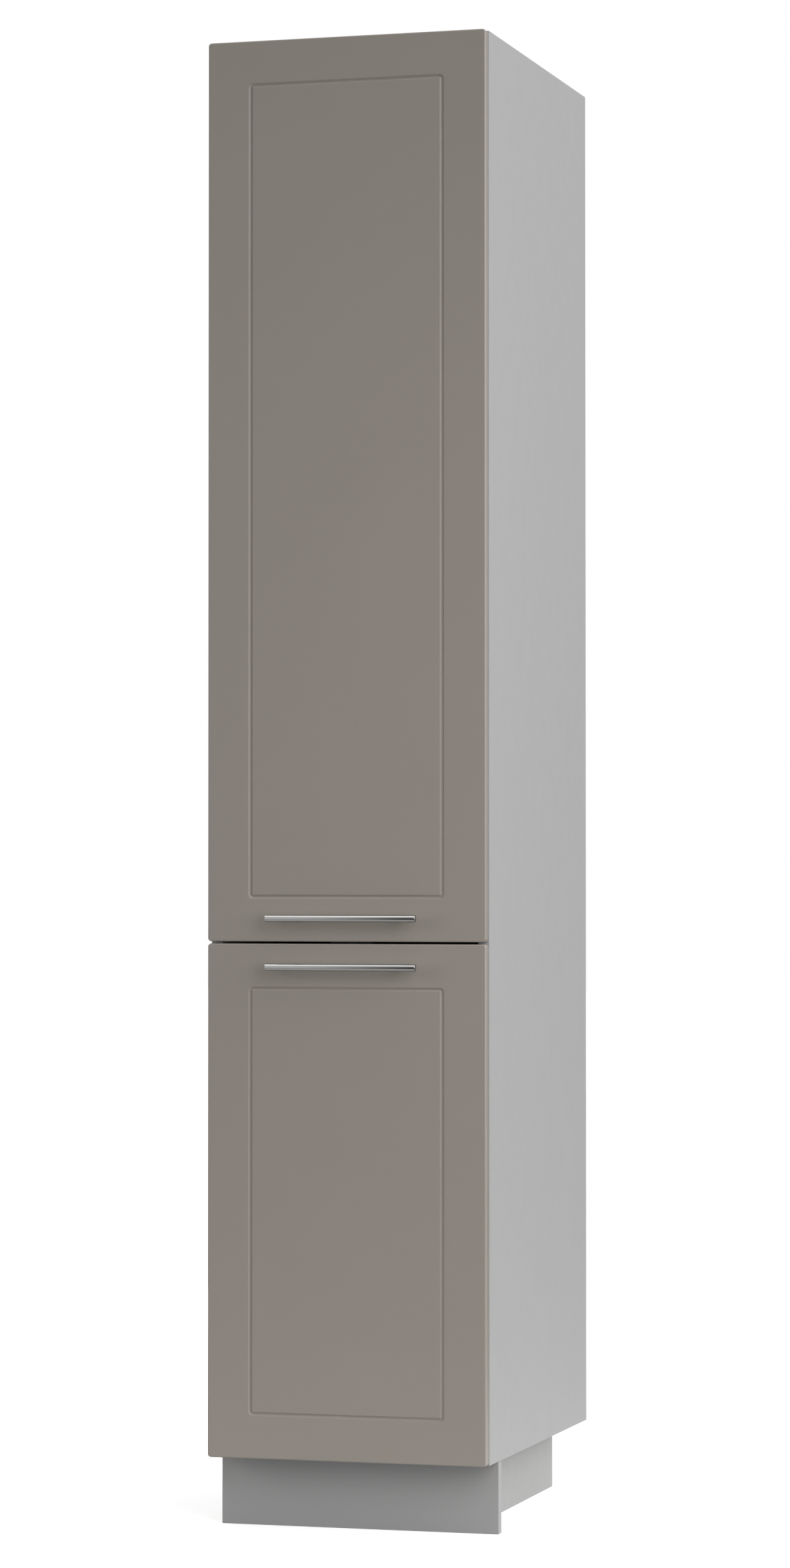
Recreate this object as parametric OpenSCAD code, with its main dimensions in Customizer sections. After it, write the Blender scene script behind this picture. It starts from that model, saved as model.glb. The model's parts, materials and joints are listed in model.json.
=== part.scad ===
// Tall pull-out larder unit: a carcass on a plinth, with one full-height pull-out that carries
// two grooved fronts, a tube frame and five trays on ball runners.
// X runs across the unit, -Y is the front, Z is up. The origin is on the floor, in the middle
// of the unit's outline seen from above.

/* [Carcass] */
// Width over the two side boards
cabinet_w = 400; // [390:1:450]
// Height from the floor to the top of the carcass
cabinet_h = 2065; // [2000:1:2200]
// Depth of the carcass from its front edges to its back
carcass_d = 556; // [500:1:630]
// Thickness of the carcass and plinth boards
board_t = 16; // [15:0.5:19]
// Thickness of the banding on the front edges
edge_t = 1; // [0.5:0.1:2]
// Thickness of the back panel
back_t = 3; // [3:0.5:5]
// Depth of the groove that holds the back panel
back_groove = 7; // [5:0.5:8]
// Height of the two rails behind the back panel
rear_rail_h = 90; // [70:1:120]
// Distance between the two wall fixing holes
wall_hole_pitch = 280; // [240:1:300]
// Diameter of the wall fixing holes
wall_hole_d = 6; // [5:0.5:8]
// Diameter of the dowels
dowel_d = 8; // [6:0.5:10]
// Length of the dowels
dowel_l = 30; // [25:1:35]
// Diameter of the cam discs
cam_d = 15; // [12:0.5:20]
// Thickness of the cam discs
cam_t = 12.5; // [11:0.5:13]
// Distance from the end of a board to its cam disc
cam_inset = 34; // [28:1:40]
// Diameter of the cam bolts
cam_bolt_d = 6; // [5:0.5:7]

/* [Plinth and feet] */
// Height of the gap that the plinth and the feet fill
plinth_h = 100; // [95:1:120]
// Setback of the plinth front behind the carcass front
plinth_setback = 48; // [40:1:60]
// Inset of the plinth side boards from the carcass sides
plinth_side_inset = 52; // [48:1:58]
// Play between the plinth boards and the carcass
plinth_play = 0.5; // [0.3:0.1:1]
// Length of a plinth bracket's leg
bracket_leg = 28; // [24:1:32]
// Thickness of a plinth bracket
bracket_t = 2.5; // [2:0.5:4]
// Diameter of a foot's pad
foot_pad_d = 46; // [40:1:48]
// Thickness of a foot's pad
foot_pad_t = 8; // [6:1:12]
// Diameter of a foot's threaded stem
foot_stem_d = 10; // [8:0.5:12]
// Side of a foot socket's square flange
socket_flange = 54; // [50:1:56]
// Thickness of a foot socket's flange
socket_flange_t = 5; // [4:0.5:6]
// Diameter of a foot socket's sleeve
socket_sleeve_d = 28; // [24:1:32]
// Length of a foot socket's sleeve
socket_sleeve_l = 42; // [36:1:46]
// Distance from the carcass side to a foot's axis
foot_inset_x = 105; // [100:1:110]
// Distance from the carcass front to the front feet
foot_inset_front = 122; // [115:1:140]
// Distance from the carcass back to the rear feet
foot_inset_rear = 70; // [60:1:90]

/* [Fronts] */
// Thickness of the fronts
front_t = 16; // [15:0.5:22]
// Gap between the fronts and the carcass
front_gap = 2; // [1.5:0.1:3]
// Reveal beside the fronts
front_reveal = 0.25; // [0:0.25:3]
// Height of the lower front
lower_front_h = 711; // [690:1:720]
// Gap between the two fronts
fronts_gap = 3; // [2:0.5:5]
// Radius of a front's corners
front_corner_r = 4.5; // [4:0.1:8]
// Rounding of a front's face edge
front_edge_r = 3; // [1:0.1:3.5]
// Distance from a front's edge to the middle of its groove
groove_inset = 62; // [50:0.5:80]
// Radius of the groove's round section
groove_r = 2.2; // [1.5:0.1:3]
// Radius of the groove's middle line at its corners
groove_corner_r = 3.4; // [3.2:0.1:8]
// Diameter of the bumpers
bumper_d = 8; // [6:0.5:10]

/* [Handles] */
// Length of a handle bar
handle_l = 215; // [190:1:260]
// Diameter of a handle bar
handle_d = 10; // [8:0.5:14]
// Distance between a handle's posts
handle_pitch = 160; // [128:1:170]
// Diameter of a handle's posts
handle_post_d = 6; // [5.5:0.5:8]
// Distance from the front's face to the outside of the bar
handle_reach = 32; // [28:1:40]
// Distance from a front's edge to the bar's axis
handle_edge = 32; // [25:0.5:40]
// Diameter of the handle screws
handle_screw_d = 4; // [3:0.5:4.5]
// Depth of a handle screw in its post
handle_screw_grip = 12; // [8:1:14]

/* [Runners] */
// Space between the runner members and the back of the carcass
runner_back_gap = 56; // [50:1:64]
// Length of runner that stays overlapped when open
runner_rest = 20; // [16:1:40]
// Height of the outer runner member
runner_h = 46; // [44:0.5:48]
// Thickness of the runner members
member_t = 1.5; // [1.3:0.1:1.7]
// Diameter of the balls
ball_d = 4; // [3.8:0.1:4.2]
// Number of balls in one row
ball_count = 8; // [4:1:10]
// Length of the ball cages
cage_l = 230; // [200:1:236]
// Thickness of the ball cages
cage_t = 0.5; // [0.4:0.1:0.6]
// Distance between the outsides of the base's flanges
base_w = 116; // [110:1:124]
// Thickness of the base and the carriage
plate_t = 2; // [1.5:0.1:2.5]
// Diameter of the runner rivets
rivet_d = 4; // [3:0.5:5]
// Width of the soft-close unit
damper_w = 30; // [26:1:34]
// Length of the soft-close unit
damper_l = 180; // [150:1:200]
// Height of the soft-close unit
damper_h = 26; // [22:1:30]

/* [Top guide] */
// Inner width of the guide channel
channel_w = 36; // [32:1:40]
// Height of the guide channel
channel_h = 22; // [20:1:26]
// Thickness of the guide channel
channel_t = 2; // [1.5:0.1:2.5]
// Thickness of a guide roller
roller_t = 10; // [8:1:11]
// Diameter of the guide pins
guide_pin_d = 6; // [5:0.5:7]

/* [Frame] */
// Width of the frame tubes
tube_w = 60; // [56:1:66]
// Depth of the frame tubes
tube_d = 20; // [18:1:24]
// Wall of the frame tubes
tube_wall = 1.5; // [1.2:0.1:2]
// Height of a front bracket
bracket_h = 40; // [36:1:50]
// Span of a front bracket
bracket_span = 220; // [190:1:240]
// Thickness of the front brackets
bracket_plate = 2; // [1.5:0.1:2.5]
// Space between the fronts and the frame
bracket_depth = 10; // [9:0.5:14]

/* [Trays] */
// Number of trays
tray_count = 5; // [3:1:5]
// Height of the first tray's board
first_tray_z = 215; // [212:1:240]
// Distance from one tray to the next
tray_pitch = 350; // [330:1:352]
// Space between a tray and the side boards
tray_side_gap = 14; // [10:0.5:20]
// Thickness of a tray's board
tray_board_t = 12; // [10:0.5:14]
// Diameter of the gallery wires
wire_d = 5; // [4.5:0.5:6]
// Diameter of the cross wires and their uprights
post_d = 4.4; // [3.6:0.1:4.4]
// Radius of the cross wires' bends
bend_r = 8; // [6:1:12]
// Height of the lower gallery wire over the board
gallery_low = 26; // [20:1:34]
// Height of the upper gallery wire over the board
gallery_high = 68; // [50:1:90]
// Radius of the gallery's corners
gallery_corner_r = 22; // [14:1:34]
// Thickness of the hanging plates
hanger_t = 2; // [1.5:0.1:2.5]
// Width of the hanging plates
hanger_w = 92; // [80:1:110]
// Height that a tray lifts to come off its slots
tray_lift = 8.5; // [7:0.5:9]

/* [Screws] */
// Diameter of the chipboard screws
screw_d = 4; // [3:0.5:4.5]
// Length of the chipboard screws
screw_l = 13; // [11:0.5:14]
// Diameter of the screw heads
screw_head_d = 8; // [7:0.5:9]
// Height of the screw heads
screw_head_h = 1.6; // [1.2:0.1:1.8]
// Diameter of the frame bolts
bolt_d = 6; // [5:0.5:7]

/* [Fits] */
// Clearance round a screw, dowel or pin that is held
held_play = 0.05; // [0.03:0.01:0.1]
// Clearance between pieces that move past each other
move_play = 0.3; // [0.25:0.05:0.5]

/* [Hidden] */
$fn = 48;
cut = 1; // how far a cutting shape reaches past the face that it opens
mid = 1 / 2;
sides = [-1, 1];

// Places along Y, front to back
total_d = handle_reach + front_t + front_gap + carcass_d;
face_y = -total_d / 2 + handle_reach;
front_back_y = face_y + front_t;
carcass_y = front_back_y + front_gap;
back_y = carcass_y + carcass_d;
back_panel_y = back_y - board_t - back_t;

// Places across and up
inner_w = cabinet_w - 2 * board_t;
floor_z = plinth_h + board_t;
ceiling_z = cabinet_h - board_t;
front_w = cabinet_w - 2 * front_reveal;
upper_front_z = plinth_h + lower_front_h + fronts_gap;
upper_front_h = cabinet_h - upper_front_z;
handle_y = face_y - handle_reach + handle_d / 2;
handle_heights = [upper_front_z + handle_edge, upper_front_z - fronts_gap - handle_edge];

// The boards' joints: dowels and cam bolts at the mid thickness of the top and bottom boards
joint_heights = [plinth_h + board_t / 2, cabinet_h - board_t / 2];
dowel_side = 12; // how far a dowel goes into the side board
dowel_inset_front = 60;
dowel_inset_rear = 80;
dowel_places = [carcass_y + dowel_inset_front, back_y - dowel_inset_rear];
cam_front = 100; // distance from the carcass front to the front cams
cam_rear = 120; // distance from the carcass back to the rear cams
cam_places = [carcass_y + cam_front, back_y - cam_rear];
cam_slot_w = 2;
cam_slot_depth = 3;
cam_bolt_room = 1; // how much wider the hole in a cam disc is than its bolt
cam_bolt_side = 10; // how far a cam bolt goes into the side board
rail_dowel_step = 25; // distance of a rear rail's dowels from its edges
bumper_inset = 34; // distance from a front's edge to its bumpers

// Plinth and feet
plinth_y = carcass_y + plinth_setback;
plinth_board_h = plinth_h - plinth_play;
plinth_side_x = cabinet_w / 2 - plinth_side_inset;
front_bracket_z = 24; // height of the front brackets, clear of the clips over them
rear_bracket_y = (plinth_y + board_t + back_y) / 2;
foot_x = cabinet_w / 2 - foot_inset_x;
foot_places = [
    ["foot_front_left", [-foot_x, carcass_y + foot_inset_front]],
    ["foot_front_right", [foot_x, carcass_y + foot_inset_front]],
    ["foot_rear_left", [-foot_x, back_y - foot_inset_rear]],
    ["foot_rear_right", [foot_x, back_y - foot_inset_rear]],
];
foot_stem_top = 10; // distance from the carcass to the top of a foot's stem
socket_screw_margin = 7; // distance of a socket's screws from its flange's edges
socket_screw_step = socket_flange / 2 - socket_screw_margin;
socket_roof = 2; // what stays over a socket's bore
clip_h = 20;
clip_wall = 3.5;
clip_rise = 4; // what shows of a socket's sleeve below its clip
clip_z = plinth_h - socket_sleeve_l + clip_rise;
clip_foot_w = 44;
clip_screw_x = 14;

// Runner section, seen along Y: x from the base's flange outwards, z from the runner's middle
race_gap = 2 * member_t; // space between two members, where the balls run
outer_half = runner_h / 2;
middle_half = outer_half - member_t - race_gap;
inner_half = middle_half - member_t - race_gap;
outer_reach = 12.5;
middle_back = 3.2;
middle_reach = 13;
inner_back = 6.2;
inner_face = 14;
outer_ball_x = 8;
inner_ball_x = 9.5;
outer_cage_back = 2.1;
inner_cage_back = 5.2;
outer_ball_z = middle_half + race_gap / 2;
inner_ball_z = inner_half + race_gap / 2;
race_play = 0.05;

// Runner places
frame_y = front_back_y + bracket_depth;
runner_l = carcass_d - runner_back_gap;
runner_lead = 2; // how far the runner starts in front of the frame
runner_y = frame_y - runner_lead;
runner_end = runner_y + runner_l;
travel = runner_l - runner_rest;
runner_lift = 2; // space under the members
base_h = plate_t + runner_lift + runner_h;
runner_z = floor_z + plate_t + runner_lift + runner_h / 2;
cage_y = runner_y + (runner_l - travel / 2 - cage_l) / 2 + travel / 4;
carriage_gap = 6; // space between the base's flanges and the carriage
carriage_skirt = 18; // how far the carriage's flanges reach below the runner's middle
carriage_top = floor_z + base_h + carriage_gap + plate_t;
carriage_bottom = runner_z - carriage_skirt;
carriage_w = base_w + 2 * inner_face + 2 * plate_t;
runner_fix_end = 40; // distance of the outermost rivets from the members' ends
runner_fix_places = [runner_y + runner_fix_end, runner_y + runner_l / 2, runner_end - runner_fix_end];
base_screw_inset = 18; // distance of the base's screws from its flanges
base_screw_end = 25; // distance of the outermost screws from the base's ends
base_screw_x = base_w / 2 - base_screw_inset;
base_screw_places = [runner_y + base_screw_end, runner_y + runner_l / 2, runner_end - base_screw_end];
damper_end = 50; // distance of the soft-close unit from the runner's end
damper_y = runner_end - damper_l - damper_end;
damper_z = floor_z + plate_t;
damper_ear = 12;
damper_ear_t = 3;
damper_slot_w = 7;
damper_slot_l = 60;
damper_slot_depth = 12;
catch_w = 5;
catch_l = 14;
catch_play = 3; // space behind the catch in the slot
catch_rise = 2; // space under the catch in the slot
catch_y = damper_y + damper_slot_l - catch_l - catch_play;
catch_bottom = damper_z + damper_h - damper_slot_depth + catch_rise;

// Frame places
frame_shortfall = 10; // how much shorter the frame is than the runner
frame_headroom = 12; // space between the guide channel and the frame
frame_l = runner_l - frame_shortfall;
frame_top = ceiling_z - channel_h - frame_headroom;
upright_bottom = carriage_top + tube_d;
upright_top = frame_top - tube_d;
rear_upright_y = frame_y + frame_l - tube_d;
clear_y = frame_y + tube_d;
clear_l = frame_l - 2 * tube_d;
plug_t = 3;
plug_l = 10;
carriage_bolt_x = 20;
carriage_bolt_end = 60; // distance of the carriage bolts from the frame's ends
carriage_bolt_places = [frame_y + carriage_bolt_end, frame_y + frame_l - carriage_bolt_end];
bolt_head_h = 3;
bolt_reach = 4; // how far a bolt reaches into its tube

// Front brackets
bracket_web_lip = 4; // how far a bracket's web reaches past each side of the upright
bracket_web_w = tube_w + 2 * bracket_web_lip;
bracket_screw_inset = 14; // distance of a bracket's wood screws from its ends
bracket_screw_margin = 8; // distance of a bracket's screws and bolts from its edges
bracket_screw_x = bracket_span / 2 - bracket_screw_inset;
bracket_screw_step = bracket_h / 2 - bracket_screw_margin;
bracket_end = 110; // distance from a front's edge to its outermost bracket
lowest_bracket = 130; // the same at the lower front's bottom, where the runner is in the way
bracket_heights = [
    plinth_h + lowest_bracket,
    plinth_h + lower_front_h - bracket_end,
    upper_front_z + bracket_end,
    upper_front_z + upper_front_h / 2,
    cabinet_h - bracket_end,
];

// Trays
tray_w = inner_w - 2 * tray_side_gap;
ring_half = tray_w / 2 - wire_d / 2;
tray_board_w = 2 * (ring_half - bend_r); // as wide as the straight stretch of the cross wires
hanger_y = clear_y + move_play;
tray_inner_l = clear_l - 2 * (move_play + hanger_t);
weld = 0.5; // how far a welded wire sinks into its neighbour
ring_y = hanger_y + hanger_t + wire_d / 2 - weld;
ring_l = clear_l - 2 * (ring_y - clear_y);
support_cover = 1.6; // how far a support reaches below the cross wires
support_t = post_d + support_cover;
support_w = 14;
support_x = 30;
cross_wires = [0.12, 0.5, 0.88]; // places of the cross wires along the tray
hook_x = 16;
hook_w = 5;
hook_h = 5;
hook_t = 2;
slot_play = 0.5;
hook_tongue = tray_lift - slot_play;
slot_h = hook_h + tray_lift + 2 * slot_play;
hanger_drop = 18; // how far a hanging plate reaches under the board
tray_heights = [for (i = [0 : tray_count - 1]) first_tray_z + i * tray_pitch];

// Guide places
channel_end_gap = 3; // space before and behind the guide channel
channel_y = carcass_y + channel_end_gap;
channel_l = back_panel_y - channel_end_gap - channel_y;
roller_r = channel_w / 4 - move_play;
roller_x = channel_w / 4;
guide_inset = 6; // distance of the rollers' axes from the frame's end
guide_y = frame_y + frame_l - guide_inset;
guide_block_h = 7;
guide_block_l = 22;
guide_block_lead = 12; // how far the guide block starts in front of the rollers' axes
guide_block_rim = 9; // how far it reaches past the axes at each side
roller_rise = 4; // height of the rollers over the channel's lower edges
roller_z = ceiling_z - channel_h + roller_rise;
pin_head_rim = 2;
pin_head_d = guide_pin_d + 2 * pin_head_rim;
pin_head_h = 1.8;
channel_screw_end = 30; // distance of the outermost screws from the channel's ends
channel_screw_last = 3;
channel_screw_places = [
    for (i = [0 : channel_screw_last])
        channel_y + channel_screw_end + i * (channel_l - 2 * channel_screw_end) / channel_screw_last
];

TRAYS = [for (i = [1 : tray_count]) str("tray_", i)];

// ---- shapes that repeat ----

// A box from its corner, with its size
module block(corner, size) {
    translate(corner) cube(size);
}

// A box centred on X
module centred_block(w, corner_y, corner_z, d, h) {
    block([-w / 2, corner_y, corner_z], [w, d, h]);
}

// A rod along X, Y or Z from a point
module rod_x(from, l, d) {
    translate(from) rotate([0, 90, 0]) cylinder(d = d, h = l);
}
module rod_y(from, l, d) {
    translate(from) rotate([-90, 0, 0]) cylinder(d = d, h = l);
}
module rod_z(from, l, d) {
    translate(from) cylinder(d = d, h = l);
}

// The same thing at both hands
module both_hands() {
    for (s = sides) scale_x(s) children();
}
module scale_x(s) {
    if (s > 0) children();
    else mirror([1, 0, 0]) children();
}

// A chipboard screw pointing down from under its head, or the hole that it makes
module chip_screw(hole = false) {
    if (hole) {
        translate([0, 0, -screw_l - held_play]) cylinder(d = screw_d + 2 * held_play, h = screw_l + cut);
    } else {
        translate([0, 0, -screw_l]) cylinder(d = screw_d, h = screw_l);
        difference() {
            cylinder(d = screw_head_d, h = screw_head_h);
            translate([-screw_d / 2, -screw_head_h / 4, screw_head_h / 2])
                cube([screw_d, screw_head_h / 2, screw_head_h]);
            translate([-screw_head_h / 4, -screw_d / 2, screw_head_h / 2])
                cube([screw_head_h / 2, screw_d, screw_head_h]);
        }
    }
}

// ---- carcass ----

// Dowels lie across every joint between a side board and the board that meets it
module dowels(hole = false) {
    d = hole ? dowel_d + 2 * held_play : dowel_d;
    play = hole ? held_play : 0;
    both_hands() {
        for (z = joint_heights, y = dowel_places)
            rod_x([inner_w / 2 + dowel_side - dowel_l - play, y, z], dowel_l + 2 * play, d);
        for (z = rear_rail_dowel_heights())
            rod_x([inner_w / 2 + dowel_side - dowel_l - play, back_y - board_t / 2, z], dowel_l + 2 * play, d);
    }
}

function rear_rail_dowel_heights() = [
    floor_z + rail_dowel_step, floor_z + rear_rail_h - rail_dowel_step,
    ceiling_z - rear_rail_h + rail_dowel_step, ceiling_z - rail_dowel_step,
];

// A cam disc lies in the outer face of the top or bottom board, and draws a bolt from the side board
module cam_discs(hole = false) {
    play = hole ? held_play : 0;
    both_hands() for (y = cam_places, top = [false, true]) {
        z = top ? cabinet_h - cam_t - play : plinth_h;
        reach = hole ? cam_t + play + cut : cam_t;
        difference() {
            translate([inner_w / 2 - cam_inset, y, hole && !top ? z - cut : z])
                cylinder(d = cam_d + 2 * play, h = reach);
            if (!hole) {
                rod_x([inner_w / 2 - cam_inset - cam_bolt_d / 2, y, joint_heights[top ? 1 : 0]],
                    cam_d, cam_bolt_d + cam_bolt_room);
                translate([inner_w / 2 - cam_inset - cam_d / 4, y - cam_slot_w / 2,
                    top ? cabinet_h - cam_slot_depth : plinth_h - cut])
                    cube([cam_d / 2, cam_slot_w, cam_slot_depth + cut]);
            }
        }
    }
}

module cam_bolts(hole = false) {
    play = hole ? held_play : 0;
    both_hands() for (y = cam_places, z = joint_heights)
        rod_x([inner_w / 2 - cam_inset, y, z], cam_inset + cam_bolt_side + play, cam_bolt_d + 2 * play);
}

module back_panel_groove() {
    w = inner_w + 2 * back_groove;
    block([-w / 2, back_panel_y - held_play, floor_z - back_groove],
        [w, back_t + 2 * held_play, ceiling_z - floor_z + 2 * back_groove]);
}

module side_right() {
    color("#b9b9b9") difference() {
        block([inner_w / 2, carcass_y + edge_t, plinth_h], [board_t, carcass_d - edge_t, cabinet_h - plinth_h]);
        back_panel_groove();
        dowels(hole = true);
        cam_bolts(hole = true);
    }
}
module side_left() {
    mirror([1, 0, 0]) side_right();
}

module cross_board(z) {
    color("#b9b9b9") difference() {
        centred_block(inner_w, carcass_y + edge_t, z, carcass_d - edge_t, board_t);
        back_panel_groove();
        dowels(hole = true);
        cam_bolts(hole = true);
        cam_discs(hole = true);
        chip_screws(hole = true);
    }
}
module top_panel() {
    cross_board(ceiling_z);
}
module bottom_panel() {
    cross_board(plinth_h);
}

module wall_holes() {
    both_hands()
        rod_y([wall_hole_pitch / 2, back_panel_y - cut, ceiling_z - rear_rail_h / 2],
            back_y - back_panel_y + 2 * cut, wall_hole_d);
}

module back_panel() {
    w = inner_w + 2 * back_groove - 1;
    color("#c9c9c7") difference() {
        block([-w / 2, back_panel_y, floor_z - back_groove + 0.5],
            [w, back_t, ceiling_z - floor_z + 2 * back_groove - 1]);
        wall_holes();
    }
}

module rear_rails() {
    color("#b9b9b9") difference() {
        for (z = [floor_z, ceiling_z - rear_rail_h])
            centred_block(inner_w, back_y - board_t, z, board_t, rear_rail_h);
        wall_holes();
        dowels(hole = true);
    }
}

module edge_bands() {
    color("#c4c4c6") {
        both_hands() block([inner_w / 2, carcass_y, plinth_h], [board_t, edge_t, cabinet_h - plinth_h]);
        for (z = [plinth_h, ceiling_z])
            centred_block(inner_w - 2 * held_play, carcass_y, z, edge_t, board_t);
    }
}

module carcass_dowels() {
    color("#d8b98a") dowels();
}

module cam_fittings() {
    color("#9a9c9f") {
        cam_discs();
        cam_bolts();
    }
}

module front_bumpers() {
    heights = [
        plinth_h + bumper_inset, plinth_h + lower_front_h - bumper_inset,
        upper_front_z + bumper_inset, cabinet_h - bumper_inset,
    ];
    thick = front_gap - move_play;
    color("#e4e4e0") both_hands() for (z = heights)
        rod_y([cabinet_w / 2 - board_t / 2, carcass_y - thick, z], thick, bumper_d);
}

// ---- plinth and feet ----

module plinth_board(size, corner) {
    color("#b4b4b4") difference() {
        block(corner, size);
        chip_screws(hole = true);
    }
}
module plinth_front() {
    plinth_board([front_w, board_t, plinth_board_h], [-front_w / 2, plinth_y, 0]);
}
module plinth_side_right() {
    plinth_board([board_t, back_y - plinth_y - board_t, plinth_board_h],
        [plinth_side_x - board_t, plinth_y + board_t, 0]);
}
module plinth_side_left() {
    mirror([1, 0, 0]) plinth_side_right();
}

// An L bracket in the inner corner of two boards, its legs along -X and +Y
module corner_bracket() {
    w = bracket_leg;
    difference() {
        union() {
            block([-w, 0, 0], [w, bracket_t, w]);
            block([-bracket_t, 0, 0], [bracket_t, w, w]);
        }
        chip_screws_of_bracket(hole = true);
    }
}
module chip_screws_of_bracket(hole = false) {
    w = bracket_leg;
    translate([-w * 0.62, bracket_t, w * 0.3]) rotate([-90, 0, 0]) chip_screw(hole);
    translate([-bracket_t, w * 0.62, w * 0.7]) rotate([0, -90, 0]) chip_screw(hole);
}

// Places children in each of the four bracket corners
module at_brackets() {
    both_hands() {
        translate([plinth_side_x - board_t, plinth_y + board_t, front_bracket_z]) children();
        translate([plinth_side_x - board_t, rear_bracket_y, plinth_h]) rotate([-90, 0, 0]) children();
    }
}

module plinth_brackets() {
    color("#d0d0cc") at_brackets() corner_bracket();
}

module clip_screws(hole = false) {
    both_hands() for (s = sides)
        translate([foot_x + s * clip_screw_x, plinth_y + board_t + clip_wall, clip_z + clip_h / 2])
            rotate([-90, 0, 0]) chip_screw(hole);
}

// A clip grips a front foot's sleeve and holds the plinth front
module plinth_clips() {
    sleeve_y = carcass_y + foot_inset_front;
    start = plinth_y + board_t;
    color("#d0d0cc") both_hands() difference() {
        union() {
            block([foot_x - clip_foot_w / 2, start, clip_z], [clip_foot_w, clip_wall, clip_h]);
            block([foot_x - clip_wall, start, clip_z], [2 * clip_wall, sleeve_y - start, clip_h]);
            translate([foot_x, sleeve_y, clip_z]) cylinder(d = socket_sleeve_d + 2 * clip_wall, h = clip_h);
        }
        translate([foot_x, sleeve_y, clip_z - cut])
            cylinder(d = socket_sleeve_d + 2 * held_play, h = clip_h + 2 * cut);
        block([foot_x - socket_sleeve_d / 3, sleeve_y, clip_z - cut],
            [socket_sleeve_d * 2 / 3, socket_sleeve_d, clip_h + 2 * cut]);
        clip_screws(hole = true);
    }
}

module socket_screws(hole = false) {
    for (place = foot_places, sx = sides, sy = sides)
        translate([place[1][0] + sx * socket_screw_step, place[1][1] + sy * socket_screw_step,
            plinth_h - socket_flange_t]) rotate([180, 0, 0]) chip_screw(hole);
}

module foot_sockets() {
    color("#3b3c3e") difference() {
        for (place = foot_places) translate([place[1][0], place[1][1], 0]) {
            translate([-socket_flange / 2, -socket_flange / 2, plinth_h - socket_flange_t])
                cube([socket_flange, socket_flange, socket_flange_t]);
            translate([0, 0, plinth_h - socket_sleeve_l]) cylinder(d = socket_sleeve_d, h = socket_sleeve_l);
        }
        for (place = foot_places) translate([place[1][0], place[1][1], plinth_h - socket_sleeve_l - cut])
            cylinder(d = foot_stem_d + 2 * held_play, h = socket_sleeve_l + cut - socket_roof);
        socket_screws(hole = true);
    }
}

// A foot: pad, hexagonal collar and threaded stem in one moulding
module foot(i) {
    collar_w = foot_stem_d * 2.2;
    color("#3b3c3e") translate([foot_places[i][1][0], foot_places[i][1][1], 0]) {
        rotate_extrude() polygon([
            [0, 0], [foot_pad_d / 2 - 1, 0], [foot_pad_d / 2, 1], [foot_pad_d / 2, foot_pad_t / 2],
            [foot_stem_d, foot_pad_t], [0, foot_pad_t],
        ]);
        translate([0, 0, foot_pad_t]) cylinder(d = collar_w, h = foot_pad_t, $fn = 6);
        translate([0, 0, foot_pad_t]) cylinder(d = foot_stem_d, h = plinth_h - foot_stem_top - foot_pad_t);
    }
}

// ---- all chipboard screws of the cabinet ----

module channel_screws(hole = false) {
    for (y = channel_screw_places)
        translate([0, y, ceiling_z - channel_t]) rotate([180, 0, 0]) chip_screw(hole);
}
module base_screws(hole = false) {
    both_hands() for (y = base_screw_places)
        translate([base_screw_x, y, floor_z + plate_t]) chip_screw(hole);
}
module damper_screws(hole = false) {
    for (y = [damper_y - damper_ear / 2, damper_y + damper_l + damper_ear / 2])
        translate([0, y, damper_z + damper_ear_t]) chip_screw(hole);
}
module chip_screws(hole = false) {
    at_brackets() chip_screws_of_bracket(hole);
    clip_screws(hole);
    socket_screws(hole);
    channel_screws(hole);
    base_screws(hole);
    damper_screws(hole);
}
module chipboard_screws() {
    color("#c8c08f") chip_screws();
}

// ---- bottom runner ----

// Places a member's section at the right or left flange of the base
module at_runner(s) {
    scale_x(s) translate([base_w / 2, 0, runner_z]) children();
}

// Sweeps a section drawn in X and Z along Y
module along_y(from, l) {
    translate([0, from + l, 0]) rotate([90, 0, 0]) linear_extrude(l) children();
}

// A C section: a web at one side and two flanges that end at the other
module c_section(half, web_x, end_x, t) {
    left = min(web_x, end_x);
    right = max(web_x, end_x);
    web = web_x < end_x ? web_x : web_x - t;
    translate([web, -half]) square([t, 2 * half]);
    for (z = [-half, half - t]) translate([left, z]) square([right - left, t]);
}

module race_cut(x, z) {
    for (s = sides) translate([x, s * z]) circle(d = ball_d + 2 * race_play, $fn = 32);
}

module runner_outer() {
    color("#c3c6ca") {
        along_y(runner_y, runner_l) difference() {
            c_section(outer_half, 0, outer_reach, member_t);
            race_cut(outer_ball_x, outer_ball_z);
        }
        for (y = runner_fix_places) {
            rod_x([-plate_t, y, 0], plate_t + member_t, rivet_d);
            rod_x([-plate_t - 1, y, 0], 1, rivet_d * 1.75);
        }
    }
}
module runner_outer_side(s) {
    at_runner(s) runner_outer();
}

module runner_middle_side(s) {
    color("#b4b7bb") at_runner(s) along_y(runner_y, runner_l) difference() {
        c_section(middle_half, middle_back, middle_reach, member_t);
        race_cut(outer_ball_x, outer_ball_z);
        race_cut(inner_ball_x, inner_ball_z);
    }
}

module runner_inner_side(s) {
    color("#c3c6ca") at_runner(s) difference() {
        along_y(runner_y, runner_l) difference() {
            c_section(inner_half, inner_face, inner_back, member_t);
            race_cut(inner_ball_x, inner_ball_z);
        }
        for (y = runner_fix_places)
            rod_x([inner_face - member_t - cut, y, 0], member_t + 2 * cut, rivet_d + 2 * held_play);
    }
}

function ball_places() = [for (i = [0 : ball_count - 1]) cage_y + (i + mid) * cage_l / ball_count];

module ball_row(x, z) {
    for (s = sides) at_runner(s) for (y = ball_places(), up = sides)
        translate([x, y, up * z]) sphere(d = ball_d, $fn = 24);
}

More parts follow.
